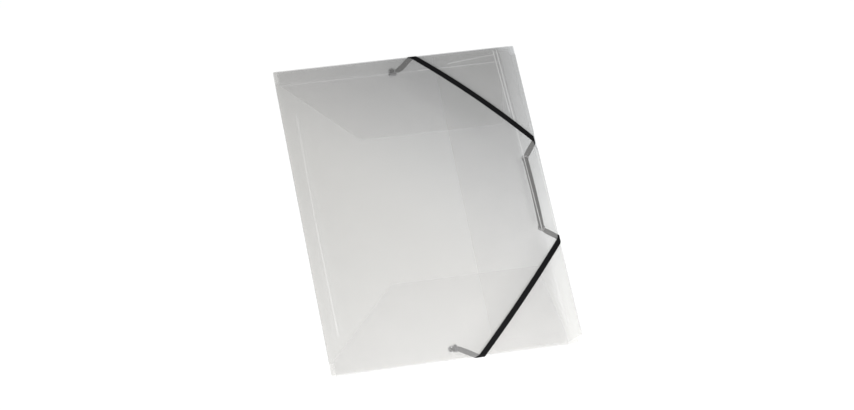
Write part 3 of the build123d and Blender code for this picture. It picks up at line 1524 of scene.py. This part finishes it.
    def make_back(self, eyelets: Sequence[Vector]) -> Piece:
        """The back, notched at its corners and holed for the eyelets, up to where the folds start.

        Args:
            eyelets: The eyelets' centres.

        Returns:
            The new object.
        """
        frame = self.frame
        half = self.thickness / 2
        left = frame.left + half + (frame.cover_low - frame.back_low) / 2
        right = frame.right - half - (frame.side_low - frame.back_low) / 2
        top = frame.top - half - (frame.end_low - frame.back_low) / 2
        spine_end = frame.top - self.notch
        side_end = frame.top - self.side_inset_at_fold
        notch_left = frame.right - self.outer_notch
        upper = [
            (right, side_end), (notch_left, side_end), (notch_left, top), (frame.end_right, top),
            (frame.end_left, top), (frame.end_left, spine_end), (left, spine_end),
        ]
        outline = upper + [(x, -y) for x, y in reversed(upper)]
        return Plate(
            "back_sheet", outline, [(spot.x, spot.y) for spot in eyelets], self.eyelet_hole,
            (right, left, top), frame.back_low + half, self.thickness,
        ).build()

    def build(self, eyelets: Sequence[Vector]) -> None:
        """Builds every sheet, and joins the back, the cover and the flaps to their bodies.

        Args:
            eyelets: The eyelets' centres, in millimetres.
        """
        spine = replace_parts(self.make_spine(), "spine_fold", "spine_strip")
        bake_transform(spine)
        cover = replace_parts(self.make_cover(), "front_cover")
        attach(cover, "cover")
        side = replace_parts(self.make_side_gusset(), "side_fold", "side_gusset")
        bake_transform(side)
        side_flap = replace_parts(self.make_side_flap(), "side_flap")
        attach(side_flap, "side_flap")
        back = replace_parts(self.make_back(eyelets), "back_panel")
        paint(back, self.finish.material("sheet_back", self.groups))
        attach(back, "back")
        made = [back, spine, cover, side, side_flap]
        for sign, end in ((1, "top"), (-1, "bottom")):
            gusset = self.make_end_gusset(sign, f"{end}_gusset_sheet")
            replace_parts(gusset, f"{end}_fold", f"{end}_gusset")
            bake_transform(gusset)
            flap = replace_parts(self.make_end_flap(sign, f"{end}_flap_sheet"), f"{end}_flap")
            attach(flap, f"{end}_flap")
            made += [gusset, flap]
        for piece in made:
            log.info("sheet %s: %d faces", piece.name, len(piece.data.polygons))


@dataclass(frozen=True)
class Crossing:
    """Where the elastic turns round an edge: its place in front and behind, and its half widths."""

    front: float
    back: float
    front_half: float
    back_half: float


@dataclass
class Elastic:
    """The one flat elastic: its corner runs, its back tails and the run inside."""

    frame: FolderFrame
    material: Material
    straps: StrapPlaces
    width: float = 5.3
    thickness: float = 0.8
    bend: float = 0.4
    rib_count: int = 7
    rib_radius: float = 0.34
    rib_sides: int = 8
    rib_sunk: float = 0.55
    core_corner: float = 0.6
    bore_half: float = 1.55
    turn_steps: int = 6
    run_steps: int = 32
    tail_steps: int = 16
    inner_steps: int = 16
    tail_turn: float = 1.3
    tail_straight: float = 0.6
    tail_gather: float = 0.6
    tail_align: float = 0.35
    inner_turn: float = 0.9
    inner_bow: float = 0.6
    end_rise: float = 0.5
    stub_shape: tuple[Spot, ...] = ((-1.7, 1.2), (-1.2, 1.7), (0.0, 1.9), (1.5, 2.0), (3.6, 2.0))
    top_lean: Point = (5.8, -1.0, 0.0)
    bottom_lean: Point = (3.6, 1.7, 0.0)
    side_lean: Point = (1.2, 2.0, 0.0)

    def rib_tree(self) -> Tree:
        """The node tree that sweeps a round rib along every path of a wire mesh.

        Returns:
            The tree, with Geometry, Rib Radius, Rib Sides and Finish inputs.
        """
        tree = bpy.data.node_groups.new("ribs_along_paths", "GeometryNodeTree")
        for label, way, kind in (
            ("Geometry", "INPUT", "Geometry"), ("Rib Radius", "INPUT", "Float"),
            ("Rib Sides", "INPUT", "Int"), ("Finish", "INPUT", "Material"), ("Geometry", "OUTPUT", "Geometry"),
        ):
            tree.interface.new_socket(name=label, in_out=way, socket_type="NodeSocket" + kind)
        given = tree.nodes.new("NodeGroupInput").outputs
        round_wire = tree.nodes.new("GeometryNodeCurvePrimitiveCircle")
        tree.links.new(given["Rib Radius"], round_wire.inputs["Radius"])
        tree.links.new(given["Rib Sides"], round_wire.inputs["Resolution"])
        passed = given["Geometry"]
        for kind in ("MeshToCurve", "CurveToMesh", "SetShadeSmooth", "RealizeInstances", "SetMaterial"):
            step = tree.nodes.new("GeometryNode" + kind)
            tree.links.new(passed, step.inputs[0])
            passed = step.outputs[0]
            if kind == "CurveToMesh":
                tree.links.new(round_wire.outputs[0], step.inputs["Profile Curve"])
                step.inputs["Fill Caps"].default_value = True
            if kind == "SetMaterial":
                tree.links.new(given["Finish"], step.inputs["Material"])
        tree.links.new(passed, tree.nodes.new("NodeGroupOutput").inputs[0])
        return tree

    def band(self, name: str, path: Sequence[CrossLine]) -> Piece:
        """Builds one stretch of the elastic from cross lines along its path.

        Args:
            name: The piece's name.
            path: For each cross line its two ends and its outward direction, in millimetres.

        Returns:
            The band, a flat core with ribs on both faces.
        """
        core_half = self.thickness / 2 - self.rib_radius * self.rib_sunk
        corner = core_half * self.core_corner
        points = []
        marks = []
        run = 0.0
        before = None
        for first, second, out in path:
            centre = (first + second) / 2
            run += (centre - before).length if before else 0.0
            before = centre
            inward = (second - first).normalized() * corner
            for spot, level in (
                (first, corner - core_half), (first, core_half - corner), (first + inward, core_half),
                (second - inward, core_half), (second, core_half - corner), (second, corner - core_half),
                (second - inward, -core_half), (first + inward, -core_half),
            ):
                points.append((spot + out * level) * MM)
                marks.append(run * MM)
        ring = 8
        last = (len(path) - 1) * ring
        faces = [tuple(range(ring)), *ring_faces(len(path), ring), tuple(reversed(range(last, last + ring)))]
        made = mesh_object(name, points, [], faces)
        made.data.attributes.new("along", "FLOAT", "POINT").data.foreach_set("value", marks)
        finish_closed(made, self.material, 60.0)
        self.join_to(made, self.ribs(name + "_ribs", path))
        return made

    def ribs(self, name: str, path: Sequence[CrossLine]) -> Piece:
        """Sweeps the lengthwise ribs along both faces of a stretch.

        Args:
            name: A name for the working object.
            path: The stretch's cross lines.

        Returns:
            The ribs as one mesh.
        """
        lift = self.thickness / 2 - self.rib_radius
        points = []
        marks = []
        edges = []
        for face in (1, -1):
            for number in range(self.rib_count):
                share = (number + 0.5) / self.rib_count
                run = 0.0
                for station, (first, second, out) in enumerate(path):
                    spot = first + (second - first) * share + out * lift * face
                    if station:
                        edges.append((len(points) - 1, len(points)))
                        run += (spot - points[-1] / MM).length
                    points.append(spot * MM)
                    marks.append(run * MM)
        made = mesh_object(name, points, edges, [])
        made.data.attributes.new("along", "FLOAT", "POINT").data.foreach_set("value", marks)
        grown = made.modifiers.new("ribs", "NODES")
        tree = bpy.data.node_groups.get("ribs_along_paths") or self.rib_tree()
        grown.node_group = tree
        values = {"Rib Radius": self.rib_radius * MM, "Rib Sides": self.rib_sides, "Finish": self.material}
        for item in tree.interface.items_tree:
            if item.in_out == "INPUT" and item.name in values:
                grown[item.identifier] = values[item.name]
        return applied(made)

    def join_to(self, made: Piece, more: Piece) -> None:
        """Adds the second object's mesh to the first and removes the second."""
        with bpy.context.temp_override(active_object=made, selected_editable_objects=[made, more]):
            bpy.ops.object.join()

    def edge_turn(
        self,
        crossing: Crossing,
        place: Callable[[float, float, float], Vector],
        out: Vector,
        pinch: float,
        back_first: bool,
    ) -> list[CrossLine]:
        """Cross lines round an edge, from the front to the back or the other way.

        Args:
            crossing: The turn's places along the edge.
            place: Turns along, outward and level into a point.
            out: Direction out of the folder across the edge.
            pinch: How far the edge is pushed in.
            back_first: Whether the turn starts at the back.

        Returns:
            The cross lines.
        """
        middle = self.bend + self.thickness / 2
        bends = (
            (self.frame.cover_high - self.bend, 90.0),
            (self.frame.elastic_thickness + self.bend, 0.0),
        )
        turn = []
        total = 2 * (self.turn_steps + 1) - 1
        number = 0
        for centre_z, first_angle in bends:
            for step in range(self.turn_steps + 1):
                angle = radians(first_angle - 90.0 * step / self.turn_steps)
                share = number / total
                along = crossing.front + (crossing.back - crossing.front) * share
                half = crossing.front_half + (crossing.back_half - crossing.front_half) * share
                outward = middle * cos(angle) - pinch
                level = centre_z + middle * sin(angle)
                normal = out * cos(angle) + UP * sin(angle)
                ends = [place(along + side, outward, level) for side in (-half, half)]
                turn.append((*ends, normal))
                number += 1
        return list(reversed(turn)) if back_first else turn

    def half_cut(self, run_x: float, run_y: float, end_edge: bool) -> float:
        """Half the length that a run of the elastic covers on the edge that it crosses."""
        across = abs(run_y) if end_edge else abs(run_x)
        return self.width / 2 * hypot(run_x, run_y) / across

    def end_crossing(self, cross: float, toward: Vector, side_cross: float, sign: int) -> Crossing:
        """The turn round the top or bottom edge, with places across the folder.

        Args:
            cross: Where the strap over the cover meets the edge.
            toward: The place on the back that the tail heads for.
            side_cross: Where the strap meets the outer edge, measured from the middle.
            sign: 1 for the top edge, -1 for the bottom edge.

        Returns:
            The turn.
        """
        run_x = self.frame.right - cross
        run_y = self.frame.top - side_cross
        back = cross - (self.straps.top_drift if sign > 0 else self.straps.bottom_drift)
        front_half = self.half_cut(run_x, run_y, True)
        back_half = self.half_cut(back - toward.x, sign * self.frame.top - toward.y, True)
        return Crossing(cross, back, front_half, back_half)

    def side_crossing(self, cross: float, toward: Vector, end_cross: float, sign: int) -> Crossing:
        """The turn round the outer edge, with places measured from the middle outwards.

        Args:
            cross: Where the strap over the cover meets the edge.
            toward: The place on the back that the tail heads for.
            end_cross: Where the strap meets the top or bottom edge.
            sign: 1 for the upper strap, -1 for the lower one.

        Returns:
            The turn.
        """
        run_x = self.frame.right - end_cross
        run_y = self.frame.top - cross
        back = cross - (self.straps.upper_drift if sign > 0 else self.straps.lower_drift)
        front_half = self.half_cut(run_x, run_y, False)
        back_half = self.half_cut(self.frame.right - toward.x, back - abs(toward.y), False)
        return Crossing(cross, back, front_half, back_half)

    def make_corner(self, name: str, sign: int, end: Crossing, side: Crossing) -> Piece:
        """The stretch over one corner of the cover, with its turns round both edges.

        Args:
            name: The piece's name.
            sign: 1 for the upper corner, -1 for the lower one.
            end: The turn round the top or bottom edge.
            side: The turn round the outer edge.

        Returns:
            The band.
        """
        frame = self.frame

        def at_end(along: float, outward: float, level: float) -> Vector:
            """A point beyond the top or bottom edge."""
            return Vector((along, sign * (frame.top + outward), level))

        def at_side(along: float, outward: float, level: float) -> Vector:
            """A point beyond the outer edge."""
            return Vector((frame.right + outward, along, level))

        turned = Crossing(sign * side.front, sign * side.back, side.front_half, side.back_half)
        straps = self.straps
        first = self.edge_turn(end, at_end, Vector((0, sign, 0)), straps.end_pinch, True)
        last = self.edge_turn(turned, at_side, Vector((1, 0, 0)), straps.side_pinch(sign), False)
        if sign < 0:
            last = [(second, start, out) for start, second, out in last]
        run = []
        start = first[-1]
        stop = last[0]
        chord = stop[0] - start[0]
        bow = Vector((-sign * chord.y, sign * chord.x, 0)).normalized()
        bow *= straps.upper_bow if sign > 0 else straps.lower_bow
        for number in range(1, self.run_steps):
            share = number / self.run_steps
            lean = bow * 4 * share * (1 - share)
            ends = start[0].lerp(stop[0], share) + lean, start[1].lerp(stop[1], share) + lean
            run.append((*ends, UP))
        return self.band(name, first + run + last)

    def make_tail(
        self, name: str, start: Sequence[Vector], eyelet: Vector, rise: float, turn_at: Vector
    ) -> Piece:
        """The stretch on the back from an edge to an eyelet, gathered and turned up into its bore.

        Args:
            name: The piece's name.
            start: The two ends of the cross line at the edge.
            eyelet: The eyelet's centre.
            rise: Level at which the stretch ends, inside the folder.
            turn_at: The place on the back round which the stretch bends towards the eyelet.

        Returns:
            The band.
        """
        level = self.frame.elastic_thickness / 2
        middle = (start[0] + start[1]) / 2
        side = (start[1] - start[0]).normalized()
        bend = Vector((turn_at.x, turn_at.y, level))
        end = Vector((eyelet.x, eyelet.y, level))
        run = (end - bend).normalized()
        lift = self.tail_turn
        gathered = end - run * lift
        path = [(*start, -UP)]
        turn_from = middle.lerp(bend, self.tail_straight)
        for number in range(1, self.tail_steps + 1):
            share = number / self.tail_steps
            turned = max(0.0, share * 2 - 1)
            straight = middle.lerp(turn_from, min(1.0, share * 2))
            curved = turn_from.lerp(bend, turned).lerp(bend.lerp(gathered, turned), turned)
            centre = curved if turned else straight
            along = (bend - turn_from).lerp(gathered - bend, turned).normalized()
            cross = Vector((-along.y, along.x, 0))
            cross *= -1 if cross.dot(side) < 0 else 1
            gathering = smoothstep(self.tail_gather, 1.0, share)
            width = self.width / 2 + (self.bore_half - self.width / 2) * gathering
            aligned = smoothstep(0.0, self.tail_align, share)
            half_line = (side * (start[1] - start[0]).length / 2).lerp(cross * width, aligned)
            path.append((centre - half_line, centre + half_line, -UP))
        across = cross * self.bore_half
        for angle in (20.0, 40.0, 60.0, 80.0, 90.0):
            turn = radians(angle)
            centre = gathered + UP * lift + run * lift * sin(turn) - UP * lift * cos(turn)
            out = run * sin(turn) - UP * cos(turn)
            path.append((centre - across, centre + across, out))
        top = Vector((eyelet.x, eyelet.y, rise))
        path.append((top - across, top + across, run))
        return self.band(name, path)

    def make_end_stub(self, name: str, eyelet: Vector, toward: Vector) -> Piece:
        """The elastic's last few millimetres inside, from the eyelet into its clip.

        Args:
            name: The piece's name.
            eyelet: The eyelet's centre.
            toward: Direction from the eyelet to the clip.

        Returns:
            The band.
        """
        level = self.frame.back_high + FLANGE + self.thickness / 2
        centre = Vector((eyelet.x, eyelet.y, level))
        cross = Vector((-toward.y, toward.x, 0))
        path = []
        for gone, half in self.stub_shape:
            spot = centre + toward * gone
            path.append((spot - cross * half, spot + cross * half, UP))
        return self.band(name, path)

    def make_inner(self, name: str, upper: Vector, lower: Vector) -> Piece:
        """The stretch inside the folder, from one side eyelet to the other.

        Args:
            name: The piece's name.
            upper: The upper side eyelet's centre.
            lower: The lower side eyelet's centre.

        Returns:
            The band.
        """
        level = self.frame.back_high + FLANGE + self.thickness / 2
        path = []
        cross = Vector((self.width / 2, 0, 0))
        bore = self.bore_half / (self.width / 2)
        lift = self.inner_turn
        start = self.frame.back_high
        for angle in (90.0, 70.0, 45.0, 20.0, 0.0):
            turn = radians(angle)
            height = max(start, level - lift + lift * cos(turn))
            centre = Vector((upper.x, upper.y - lift + lift * sin(turn), height))
            share = 1 - (1 - bore) * smoothstep(20.0, 80.0, angle)
            path.append((centre - cross * share, centre + cross * share, Vector((0, sin(turn), cos(turn)))))
        for number in range(1, self.inner_steps):
            y = upper.y - lift + (lower.y - upper.y + 2 * lift) * number / self.inner_steps
            centre = Vector((upper.x + self.inner_bow * sin(pi * number / self.inner_steps), y, level))
            path.append((centre - cross, centre + cross, UP))
        for first, second, out in reversed(path[:5]):
            spots = [Vector((spot.x, upper.y + lower.y - spot.y, spot.z)) for spot in (first, second)]
            path.append((*spots, Vector((out.x, -out.y, out.z))))
        return self.band(name, path)

    def build(self, eyelets: dict[str, Vector], clip_ways: dict[str, Vector]) -> None:
        """Builds every stretch, and joins the tails and the inner run to the back's body.

        Args:
            eyelets: Each eyelet's centre, in millimetres.
            clip_ways: For the top and bottom eyelets, the direction to the clip.
        """
        frame = self.frame
        level = frame.elastic_thickness / 2
        end_level = frame.back_high + FLANGE + self.end_rise
        ends = (
            ("upper", "top", 1, self.straps.top, self.straps.upper, self.top_lean),
            ("lower", "bottom", -1, self.straps.bottom, -self.straps.lower, self.bottom_lean),
        )
        made = []
        for part, end_name, sign, end_cross, side_cross, end_lean in ends:
            end_eyelet = eyelets[f"{end_name}_eyelet"]
            side_eyelet = eyelets[f"{part}_side_eyelet"]
            end_bend = end_eyelet + Vector(end_lean)
            side_bend = side_eyelet + Vector((self.side_lean[0], self.side_lean[1] * sign, 0))
            end = self.end_crossing(end_cross, end_bend, side_cross, sign)
            side = self.side_crossing(side_cross, side_bend, end_cross, sign)
            corner = self.make_corner(f"{part}_corner_band", sign, end, side)
            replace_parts(corner, f"{part}_corner_elastic")
            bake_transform(corner)
            end_y = sign * (frame.top - self.straps.end_pinch)
            end_line = [Vector((end.back + gap, end_y, level)) for gap in (-end.back_half, end.back_half)]
            side_x = frame.right - self.straps.side_pinch(sign)
            side_line = [
                Vector((side_x, sign * side.back + gap, level)) for gap in (-side.back_half, side.back_half)
            ]
            end_tail = self.make_tail(f"{end_name}_tail_band", end_line, end_eyelet, end_level, end_bend)
            stub = self.make_end_stub(f"{end_name}_stub_band", end_eyelet, clip_ways[f"{end_name}_eyelet"])
            self.join_to(end_tail, stub)
            side_tail = self.make_tail(
                f"{part}_side_tail_band", side_line, side_eyelet, frame.back_high, side_bend
            )
            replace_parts(end_tail, f"{end_name}_elastic_tail")
            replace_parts(side_tail, f"{part}_side_elastic_tail")
            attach(end_tail, "back")
            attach(side_tail, "back")
            made += [corner, end_tail, side_tail]
        inner = self.make_inner("inner_band", eyelets["upper_side_eyelet"], eyelets["lower_side_eyelet"])
        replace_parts(inner, "inner_elastic")
        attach(inner, "back")
        made.append(inner)
        for piece in made:
            log.info("elastic %s: %d faces", piece.name, len(piece.data.polygons))


@dataclass
class Metalwork:
    """The four rolled eyelets and the two clips on the elastic's ends."""

    frame: FolderFrame
    material: Material
    clip_material: Material
    bore: float = 2.0
    barrel: float = 2.35
    flange: float = 3.5
    roll_in: float = 0.35
    bore_edge: float = 0.1
    turn_steps: int = 48
    clip_steps: int = 10
    clip_length: float = 7.4
    clip_width: float = 2.6
    clip_height: float = 1.0
    clip_wall: float = 0.35
    clip_reach: float = 3.6
    clip_shape: tuple[Spot, ...] = ((0.0, 1.0), (0.55, 1.0), (0.82, 0.9), (1.0, 0.55), (1.0, 0.3))

    def eyelet_profile(self) -> list[Spot]:
        """Works out the eyelet's closed section, from the bore round the rolled flanges.

        Returns:
            Radius and level of each point.
        """
        frame = self.frame
        roll = FLANGE / 2
        ends = (frame.back_low + self.bore_edge, frame.back_high - self.bore_edge)
        profile = [(self.bore, level) for level in ends]
        inner = [
            (self.bore + self.roll_in * (1 - cos(radians(angle))), self.roll_in * sin(radians(angle)))
            for angle in (20, 50, 80)
        ]
        outer = [
            (self.flange - roll + roll * cos(radians(angle)), roll * sin(radians(angle)))
            for angle in range(90, -91, -30)
        ]
        high = frame.back_high + FLANGE
        low = frame.back_low - FLANGE
        profile += [(radius, high - self.roll_in + level) for radius, level in inner]
        profile += [(radius, high - roll + level) for radius, level in outer]
        profile += [(self.barrel, frame.back_high), (self.barrel, frame.back_low)]
        profile += [(radius, low + roll + level) for radius, level in outer]
        profile += [(radius, low + self.roll_in - level) for radius, level in reversed(inner)]
        return profile

    def make_eyelet(self, name: str, centre: Vector) -> Piece:
        """Turns the eyelet's section round its axis.

        Args:
            name: The piece's name.
            centre: The eyelet's centre.

        Returns:
            The new object.
        """
        profile = self.eyelet_profile()
        points = []
        for step in range(self.turn_steps):
            angle = 2 * pi * step / self.turn_steps
            for radius, level in profile:
                x = centre.x + radius * cos(angle)
                y = centre.y + radius * sin(angle)
                points.append(Vector((x, y, level)) * MM)
        made = mesh_object(name, points, [], ring_faces(self.turn_steps, len(profile), True))
        return finish_closed(made, self.material, 40.0)

    def make_clip(self, name: str, centre: Vector, toward: Vector) -> Piece:
        """A folded bar, open underneath, that crimps the elastic's end beside its eyelet.

        Args:
            name: The piece's name.
            centre: The eyelet's centre.
            toward: Direction from the eyelet to the bar, which lies across it.

        Returns:
            The new object.
        """
        low = self.frame.back_high + FLANGE
        half_long = self.clip_length / 2
        half_wide = self.clip_width / 2
        outline = []
        for quarter in range(4):
            turn_x = (half_long - half_wide) * (1 if quarter in (0, 3) else -1)
            for step in range(self.clip_steps):
                angle = pi / 2 * (quarter + step / self.clip_steps)
                outline.append((turn_x, half_wide * cos(angle), half_wide * sin(angle)))
        middle = Vector((centre.x, centre.y, low)) + toward * self.clip_reach
        long_way = Vector((-toward.y, toward.x, 0))
        points = []
        for height, share in self.clip_shape:
            for turn_x, x, y in outline:
                spot = middle + long_way * (turn_x + x * share) + toward * y * share
                points.append((spot + UP * self.clip_height * height) * MM)
        ring = len(outline)
        lid = tuple(range(len(points) - ring, len(points)))
        made = mesh_object(name, points, [], [*ring_faces(len(self.clip_shape), ring), lid])
        wall = made.modifiers.new("wall", "SOLIDIFY")
        wall.thickness = self.clip_wall * MM
        wall.offset = -1.0
        return finish_closed(applied(made), self.clip_material, 40.0)

    def build(self, eyelets: dict[str, Vector], clip_ways: dict[str, Vector]) -> None:
        """Builds the eyelets and the clips on the back.

        Args:
            eyelets: Each eyelet's centre, in millimetres.
            clip_ways: For the top and bottom eyelets, the direction to the clip.
        """
        for node, centre in eyelets.items():
            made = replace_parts(self.make_eyelet(node + "_ring", centre), node)
            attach(made, "back")
            log.info("eyelet %s", made.name)
        for eyelet, toward in clip_ways.items():
            node = eyelet.replace("eyelet", "elastic_clip")
            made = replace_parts(self.make_clip(node + "_bar", eyelets[eyelet], toward), node)
            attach(made, "back")
            log.info("clip %s", made.name)


@dataclass(frozen=True)
class FloorBand:
    """A soft border round an upright rectangle on the floor, in millimetres."""

    middle: Spot
    half: Spot
    width: float

    def beyond(self, tree: Tree, where: Socket) -> Socket:
        """A share that rises from 0 inside the rectangle to 1 past its border.

        Args:
            tree: The floor's tree.
            where: The place on the floor.

        Returns:
            The share.
        """
        centre = (self.middle[0] * MM, self.middle[1] * MM, 0)
        corner = (self.half[0] * MM, self.half[1] * MM, 0)
        away = vector_node(tree, "SUBTRACT", where, centre)
        past = vector_node(tree, "SUBTRACT", vector_node(tree, "ABSOLUTE", away), corner)
        outside = vector_node(tree, "MAXIMUM", past, (0, 0, 0))
        gap = vector_node(tree, "LENGTH", outside, output="Value")
        return spread_node(tree, gap, "SMOOTHSTEP", (0.0, self.width * MM))


@dataclass(frozen=True)
class FloorSlope:
    """A share that rises across the floor along one direction, between two distances in millimetres."""

    way: Point
    low: float
    high: float

    def share(self, tree: Tree, where: Socket) -> Socket:
        """The share at each place of the floor."""
        along = vector_node(tree, "DOT_PRODUCT", where, self.way, output="Value")
        return spread_node(tree, along, "SMOOTHSTEP", (self.low * MM, self.high * MM))


@dataclass
class Studio:
    """A pale floor, a soft lamp and the camera, in millimetres, degrees and watts."""

    half_floor: float = 3000.0
    floor_drop: float = 0.1
    # Painted shade and light on the floor seen through the folder: its lower glow inside the footprint, the
    # lift near the edges on the lamp's side and the shade towards the far corner.
    footprint_shade_glow: float = 0.54
    far_glow: float = 0.92
    painted_edge_light: float = 0.34
    corner_shade: float = 0.32
    least_lamp_side: float = 0.6
    footprint: FloorBand = FloorBand((0.15, 2.2), (118.55, 158.8), 2.2)
    margin: FloorBand = FloorBand((-8, 3), (105.0, 155.0), 18.0)
    to_lamp: FloorSlope = FloorSlope((0.6, -0.8, 0), -20.0, 110.0)
    to_corner: FloorSlope = FloorSlope((0.5, 0.85, 0), -10.0, 190.0)
    to_cool: FloorSlope = FloorSlope((0.8, 0.6, 0), -60.0, 140.0)
    warm: Colour = (1.0, 0.985, 0.945, 1.0)
    cool: Colour = (0.96, 0.985, 1.0, 1.0)
    floor_tone: Colour = (0.20, 0.20, 0.20, 1.0)
    floor_lit: Colour = (0.8, 0.8, 0.8, 1.0)
    world_strength: float = 0.22
    lamp_spot: Point = (20, -420, 440)
    lamp_aim: Point = (10, -20, 0)
    lamp_size: float = 360
    lamp_power: float = 4.6
    camera_spot: Point = (-460.5, -988.9, 2102.4)
    camera_aim: Point = (0.2, -0.54, 4.6)
    camera_roll: float = -15.445
    lens: float = 105.386
    sensor: float = 36.0
    clear_layers: int = 32

    def floor_glow(self, tree: Tree, where: Socket) -> bpy.types.Node:
        """The floor's glow: white around the folder, with painted shade inside its footprint that deepens
        towards one corner, painted light near its edges on the lamp's side and a warm to cool tint.

        Args:
            tree: The floor's tree.
            where: The place on the floor.

        Returns:
            The emission shader.
        """
        # Painted shade: the floor seen through the folder glows less, darker towards the far corner and
        # lighter near the edges on the lamp's side, with a painted warm to cool tint.
        far = self.footprint.beyond(tree, where)
        lamp_side = self.to_lamp.share(tree, where)
        lamp_side = math_node(tree, "MULTIPLY_ADD", lamp_side, 1 - self.least_lamp_side, self.least_lamp_side)
        edge = math_node(tree, "MULTIPLY", self.margin.beyond(tree, where), lamp_side)
        near = math_node(tree, "MULTIPLY_ADD", edge, self.painted_edge_light, self.footprint_shade_glow)
        near = math_node(tree, "MULTIPLY_ADD", self.to_corner.share(tree, where), -self.corner_shade, near)
        rise = math_node(tree, "SUBTRACT", self.far_glow, near)
        glow = tree.nodes.new("ShaderNodeEmission")
        tree.links.new(math_node(tree, "MULTIPLY_ADD", far, rise, near), glow.inputs["Strength"])
        tint = mixed(tree, self.to_cool.share(tree, where), self.warm, self.cool)
        tree.links.new(mixed(tree, far, tint, WHITE), glow.inputs["Color"])
        return glow

    def choose(self, tree: Tree, share: Socket, first: Socket, second: Socket, output: Socket) -> None:
        """Feeds an output one shader where the share is 0 and another where it is 1.

        Args:
            tree: The tree of the shaders.
            share: The share.
            first: The shader at 0.
            second: The shader at 1.
            output: The socket that is fed.
        """
        made = tree.nodes.new("ShaderNodeMixShader")
        for source, socket in ((share, made.inputs[0]), (first, made.inputs[1]), (second, made.inputs[2])):
            tree.links.new(source, socket)
        tree.links.new(made.outputs[0], output)

    def make_floor(self) -> None:
        """The floor: white to the eye, a pale surface to the light, with the folder's shadow on it and painted
        shade under the folder's footprint.
        """
        size = self.half_floor * MM
        corners = [Vector((x, y, -self.floor_drop * MM)) for x, y in (
            (-size, -size), (size, -size), (size, size), (-size, size))]
        floor = mesh_object("floor", corners, [], [(0, 1, 2, 3)])
        material, tree, shader = new_material("pale_floor")
        tree.nodes.remove(shader)
        glow = self.floor_glow(tree, object_place(tree))
        seen = tree.nodes.new("ShaderNodeBsdfDiffuse")
        seen.inputs["Color"].default_value = self.floor_tone
        both = tree.nodes.new("ShaderNodeAddShader")
        tree.links.new(seen.outputs[0], both.inputs[0])
        tree.links.new(glow.outputs[0], both.inputs[1])
        lit = tree.nodes.new("ShaderNodeBsdfDiffuse")
        lit.inputs["Color"].default_value = self.floor_lit
        rays = tree.nodes.new("ShaderNodeLightPath").outputs
        direct = math_node(tree, "MAXIMUM", rays["Is Camera Ray"], rays["Is Glossy Ray"])
        direct = math_node(tree, "MAXIMUM", direct, rays["Is Transmission Ray"])
        surface = tree.nodes["Material Output"].inputs["Surface"]
        self.choose(tree, direct, lit.outputs[0], both.outputs[0], surface)
        floor.data.materials.append(material)

    def make_world(self) -> None:
        """An even grey light from all round, seen as white."""
        world = bpy.data.worlds.new("studio")
        bpy.context.scene.world = world
        world.use_nodes = True
        tree = world.node_tree
        lit = tree.nodes["Background"]
        seen = tree.nodes.new("ShaderNodeBackground")
        for light, strength in ((lit, self.world_strength), (seen, 1.0)):
            light.inputs["Color"].default_value = WHITE
            light.inputs["Strength"].default_value = strength
        direct = tree.nodes.new("ShaderNodeLightPath").outputs["Is Camera Ray"]
        surface = tree.nodes["World Output"].inputs["Surface"]
        self.choose(tree, direct, lit.outputs[0], seen.outputs[0], surface)

    def add_lamp(self) -> None:
        """Adds the square soft lamp."""
        light = bpy.data.lights.new("key", "AREA")
        light.shape = "SQUARE"
        light.size = self.lamp_size * MM
        light.energy = self.lamp_power
        spot = Vector(self.lamp_spot)
        lamp = bpy.data.objects.new("key", light)
        lamp.location = spot * MM
        lamp.rotation_euler = (Vector(self.lamp_aim) - spot).to_track_quat("-Z", "Y").to_euler()
        bpy.context.scene.collection.objects.link(lamp)

    def make_camera(self) -> None:
        """The camera, with the reference picture's viewing angle and framing."""
        spot = Vector(self.camera_spot)
        aim = Vector(self.camera_aim)
        roll = radians(self.camera_roll)
        back = (spot - aim).normalized()
        level = UP.cross(back).normalized()
        upright = back.cross(level)
        up = upright * cos(roll) + level * sin(roll)
        across = level * cos(roll) - upright * sin(roll)
        data = bpy.data.cameras.new("camera")
        data.lens = self.lens
        data.sensor_width = self.sensor
        data.sensor_fit = "HORIZONTAL"
        data.clip_start = 0.05
        data.clip_end = 20.0
        camera = bpy.data.objects.new("camera", data)
        bpy.context.scene.collection.objects.link(camera)
        matrix = camera.matrix_world.copy()
        for row in range(3):
            matrix[row][0] = across[row]
            matrix[row][1] = up[row]
            matrix[row][2] = back[row]
            matrix[row][3] = spot[row] * MM
        camera.matrix_world = matrix
        bpy.context.scene.camera = camera

    def build(self) -> None:
        """Builds the whole studio."""
        self.make_floor()
        self.make_world()
        self.add_lamp()
        self.make_camera()
        scene = bpy.context.scene
        scene.view_settings.view_transform = "Standard"
        scene.cycles.transparent_max_bounces = self.clear_layers
        log.info("studio ready")


def middle_of(node: str) -> Vector:
    """The middle of a node's box, in millimetres."""
    low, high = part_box(node)
    return (low + high) / 2 / MM


def main() -> None:
    logging.basicConfig(level=logging.INFO, format="%(message)s")
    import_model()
    frame = FolderFrame.read()
    groups = {"line_mark": line_mark_group(), "frost": frost_group(), "edge_wear": edge_wear_group()}
    names = ("top_eyelet", "bottom_eyelet", "upper_side_eyelet", "lower_side_eyelet")
    eyelets = {name: middle_of(name) for name in names}
    clip_ways = {"top_eyelet": Vector((0, -1, 0)), "bottom_eyelet": Vector((1, 0, 0))}
    Studio().build()
    straps = StrapPlaces()
    Sheets(frame, groups, straps).build(list(eyelets.values()))
    Elastic(frame, WovenElastic().material(groups), straps).build(eyelets, clip_ways)
    bright = PlatedMetal("bright_nickel", (0.78, 0.78, 0.79, 1.0), (0.55, 0.55, 0.56, 1.0), 0.2)
    # Painted shade: the clips get a darker copy of the bright nickel, standing in for their dark reflection.
    shaded_copy = PlatedMetal("shaded_nickel", (0.24, 0.24, 0.25, 1.0), (0.16, 0.16, 0.165, 1.0), 0.5)
    Metalwork(frame, bright.material(groups), shaded_copy.material(groups)).build(eyelets, clip_ways)


if __name__ == "__main__":
    main()
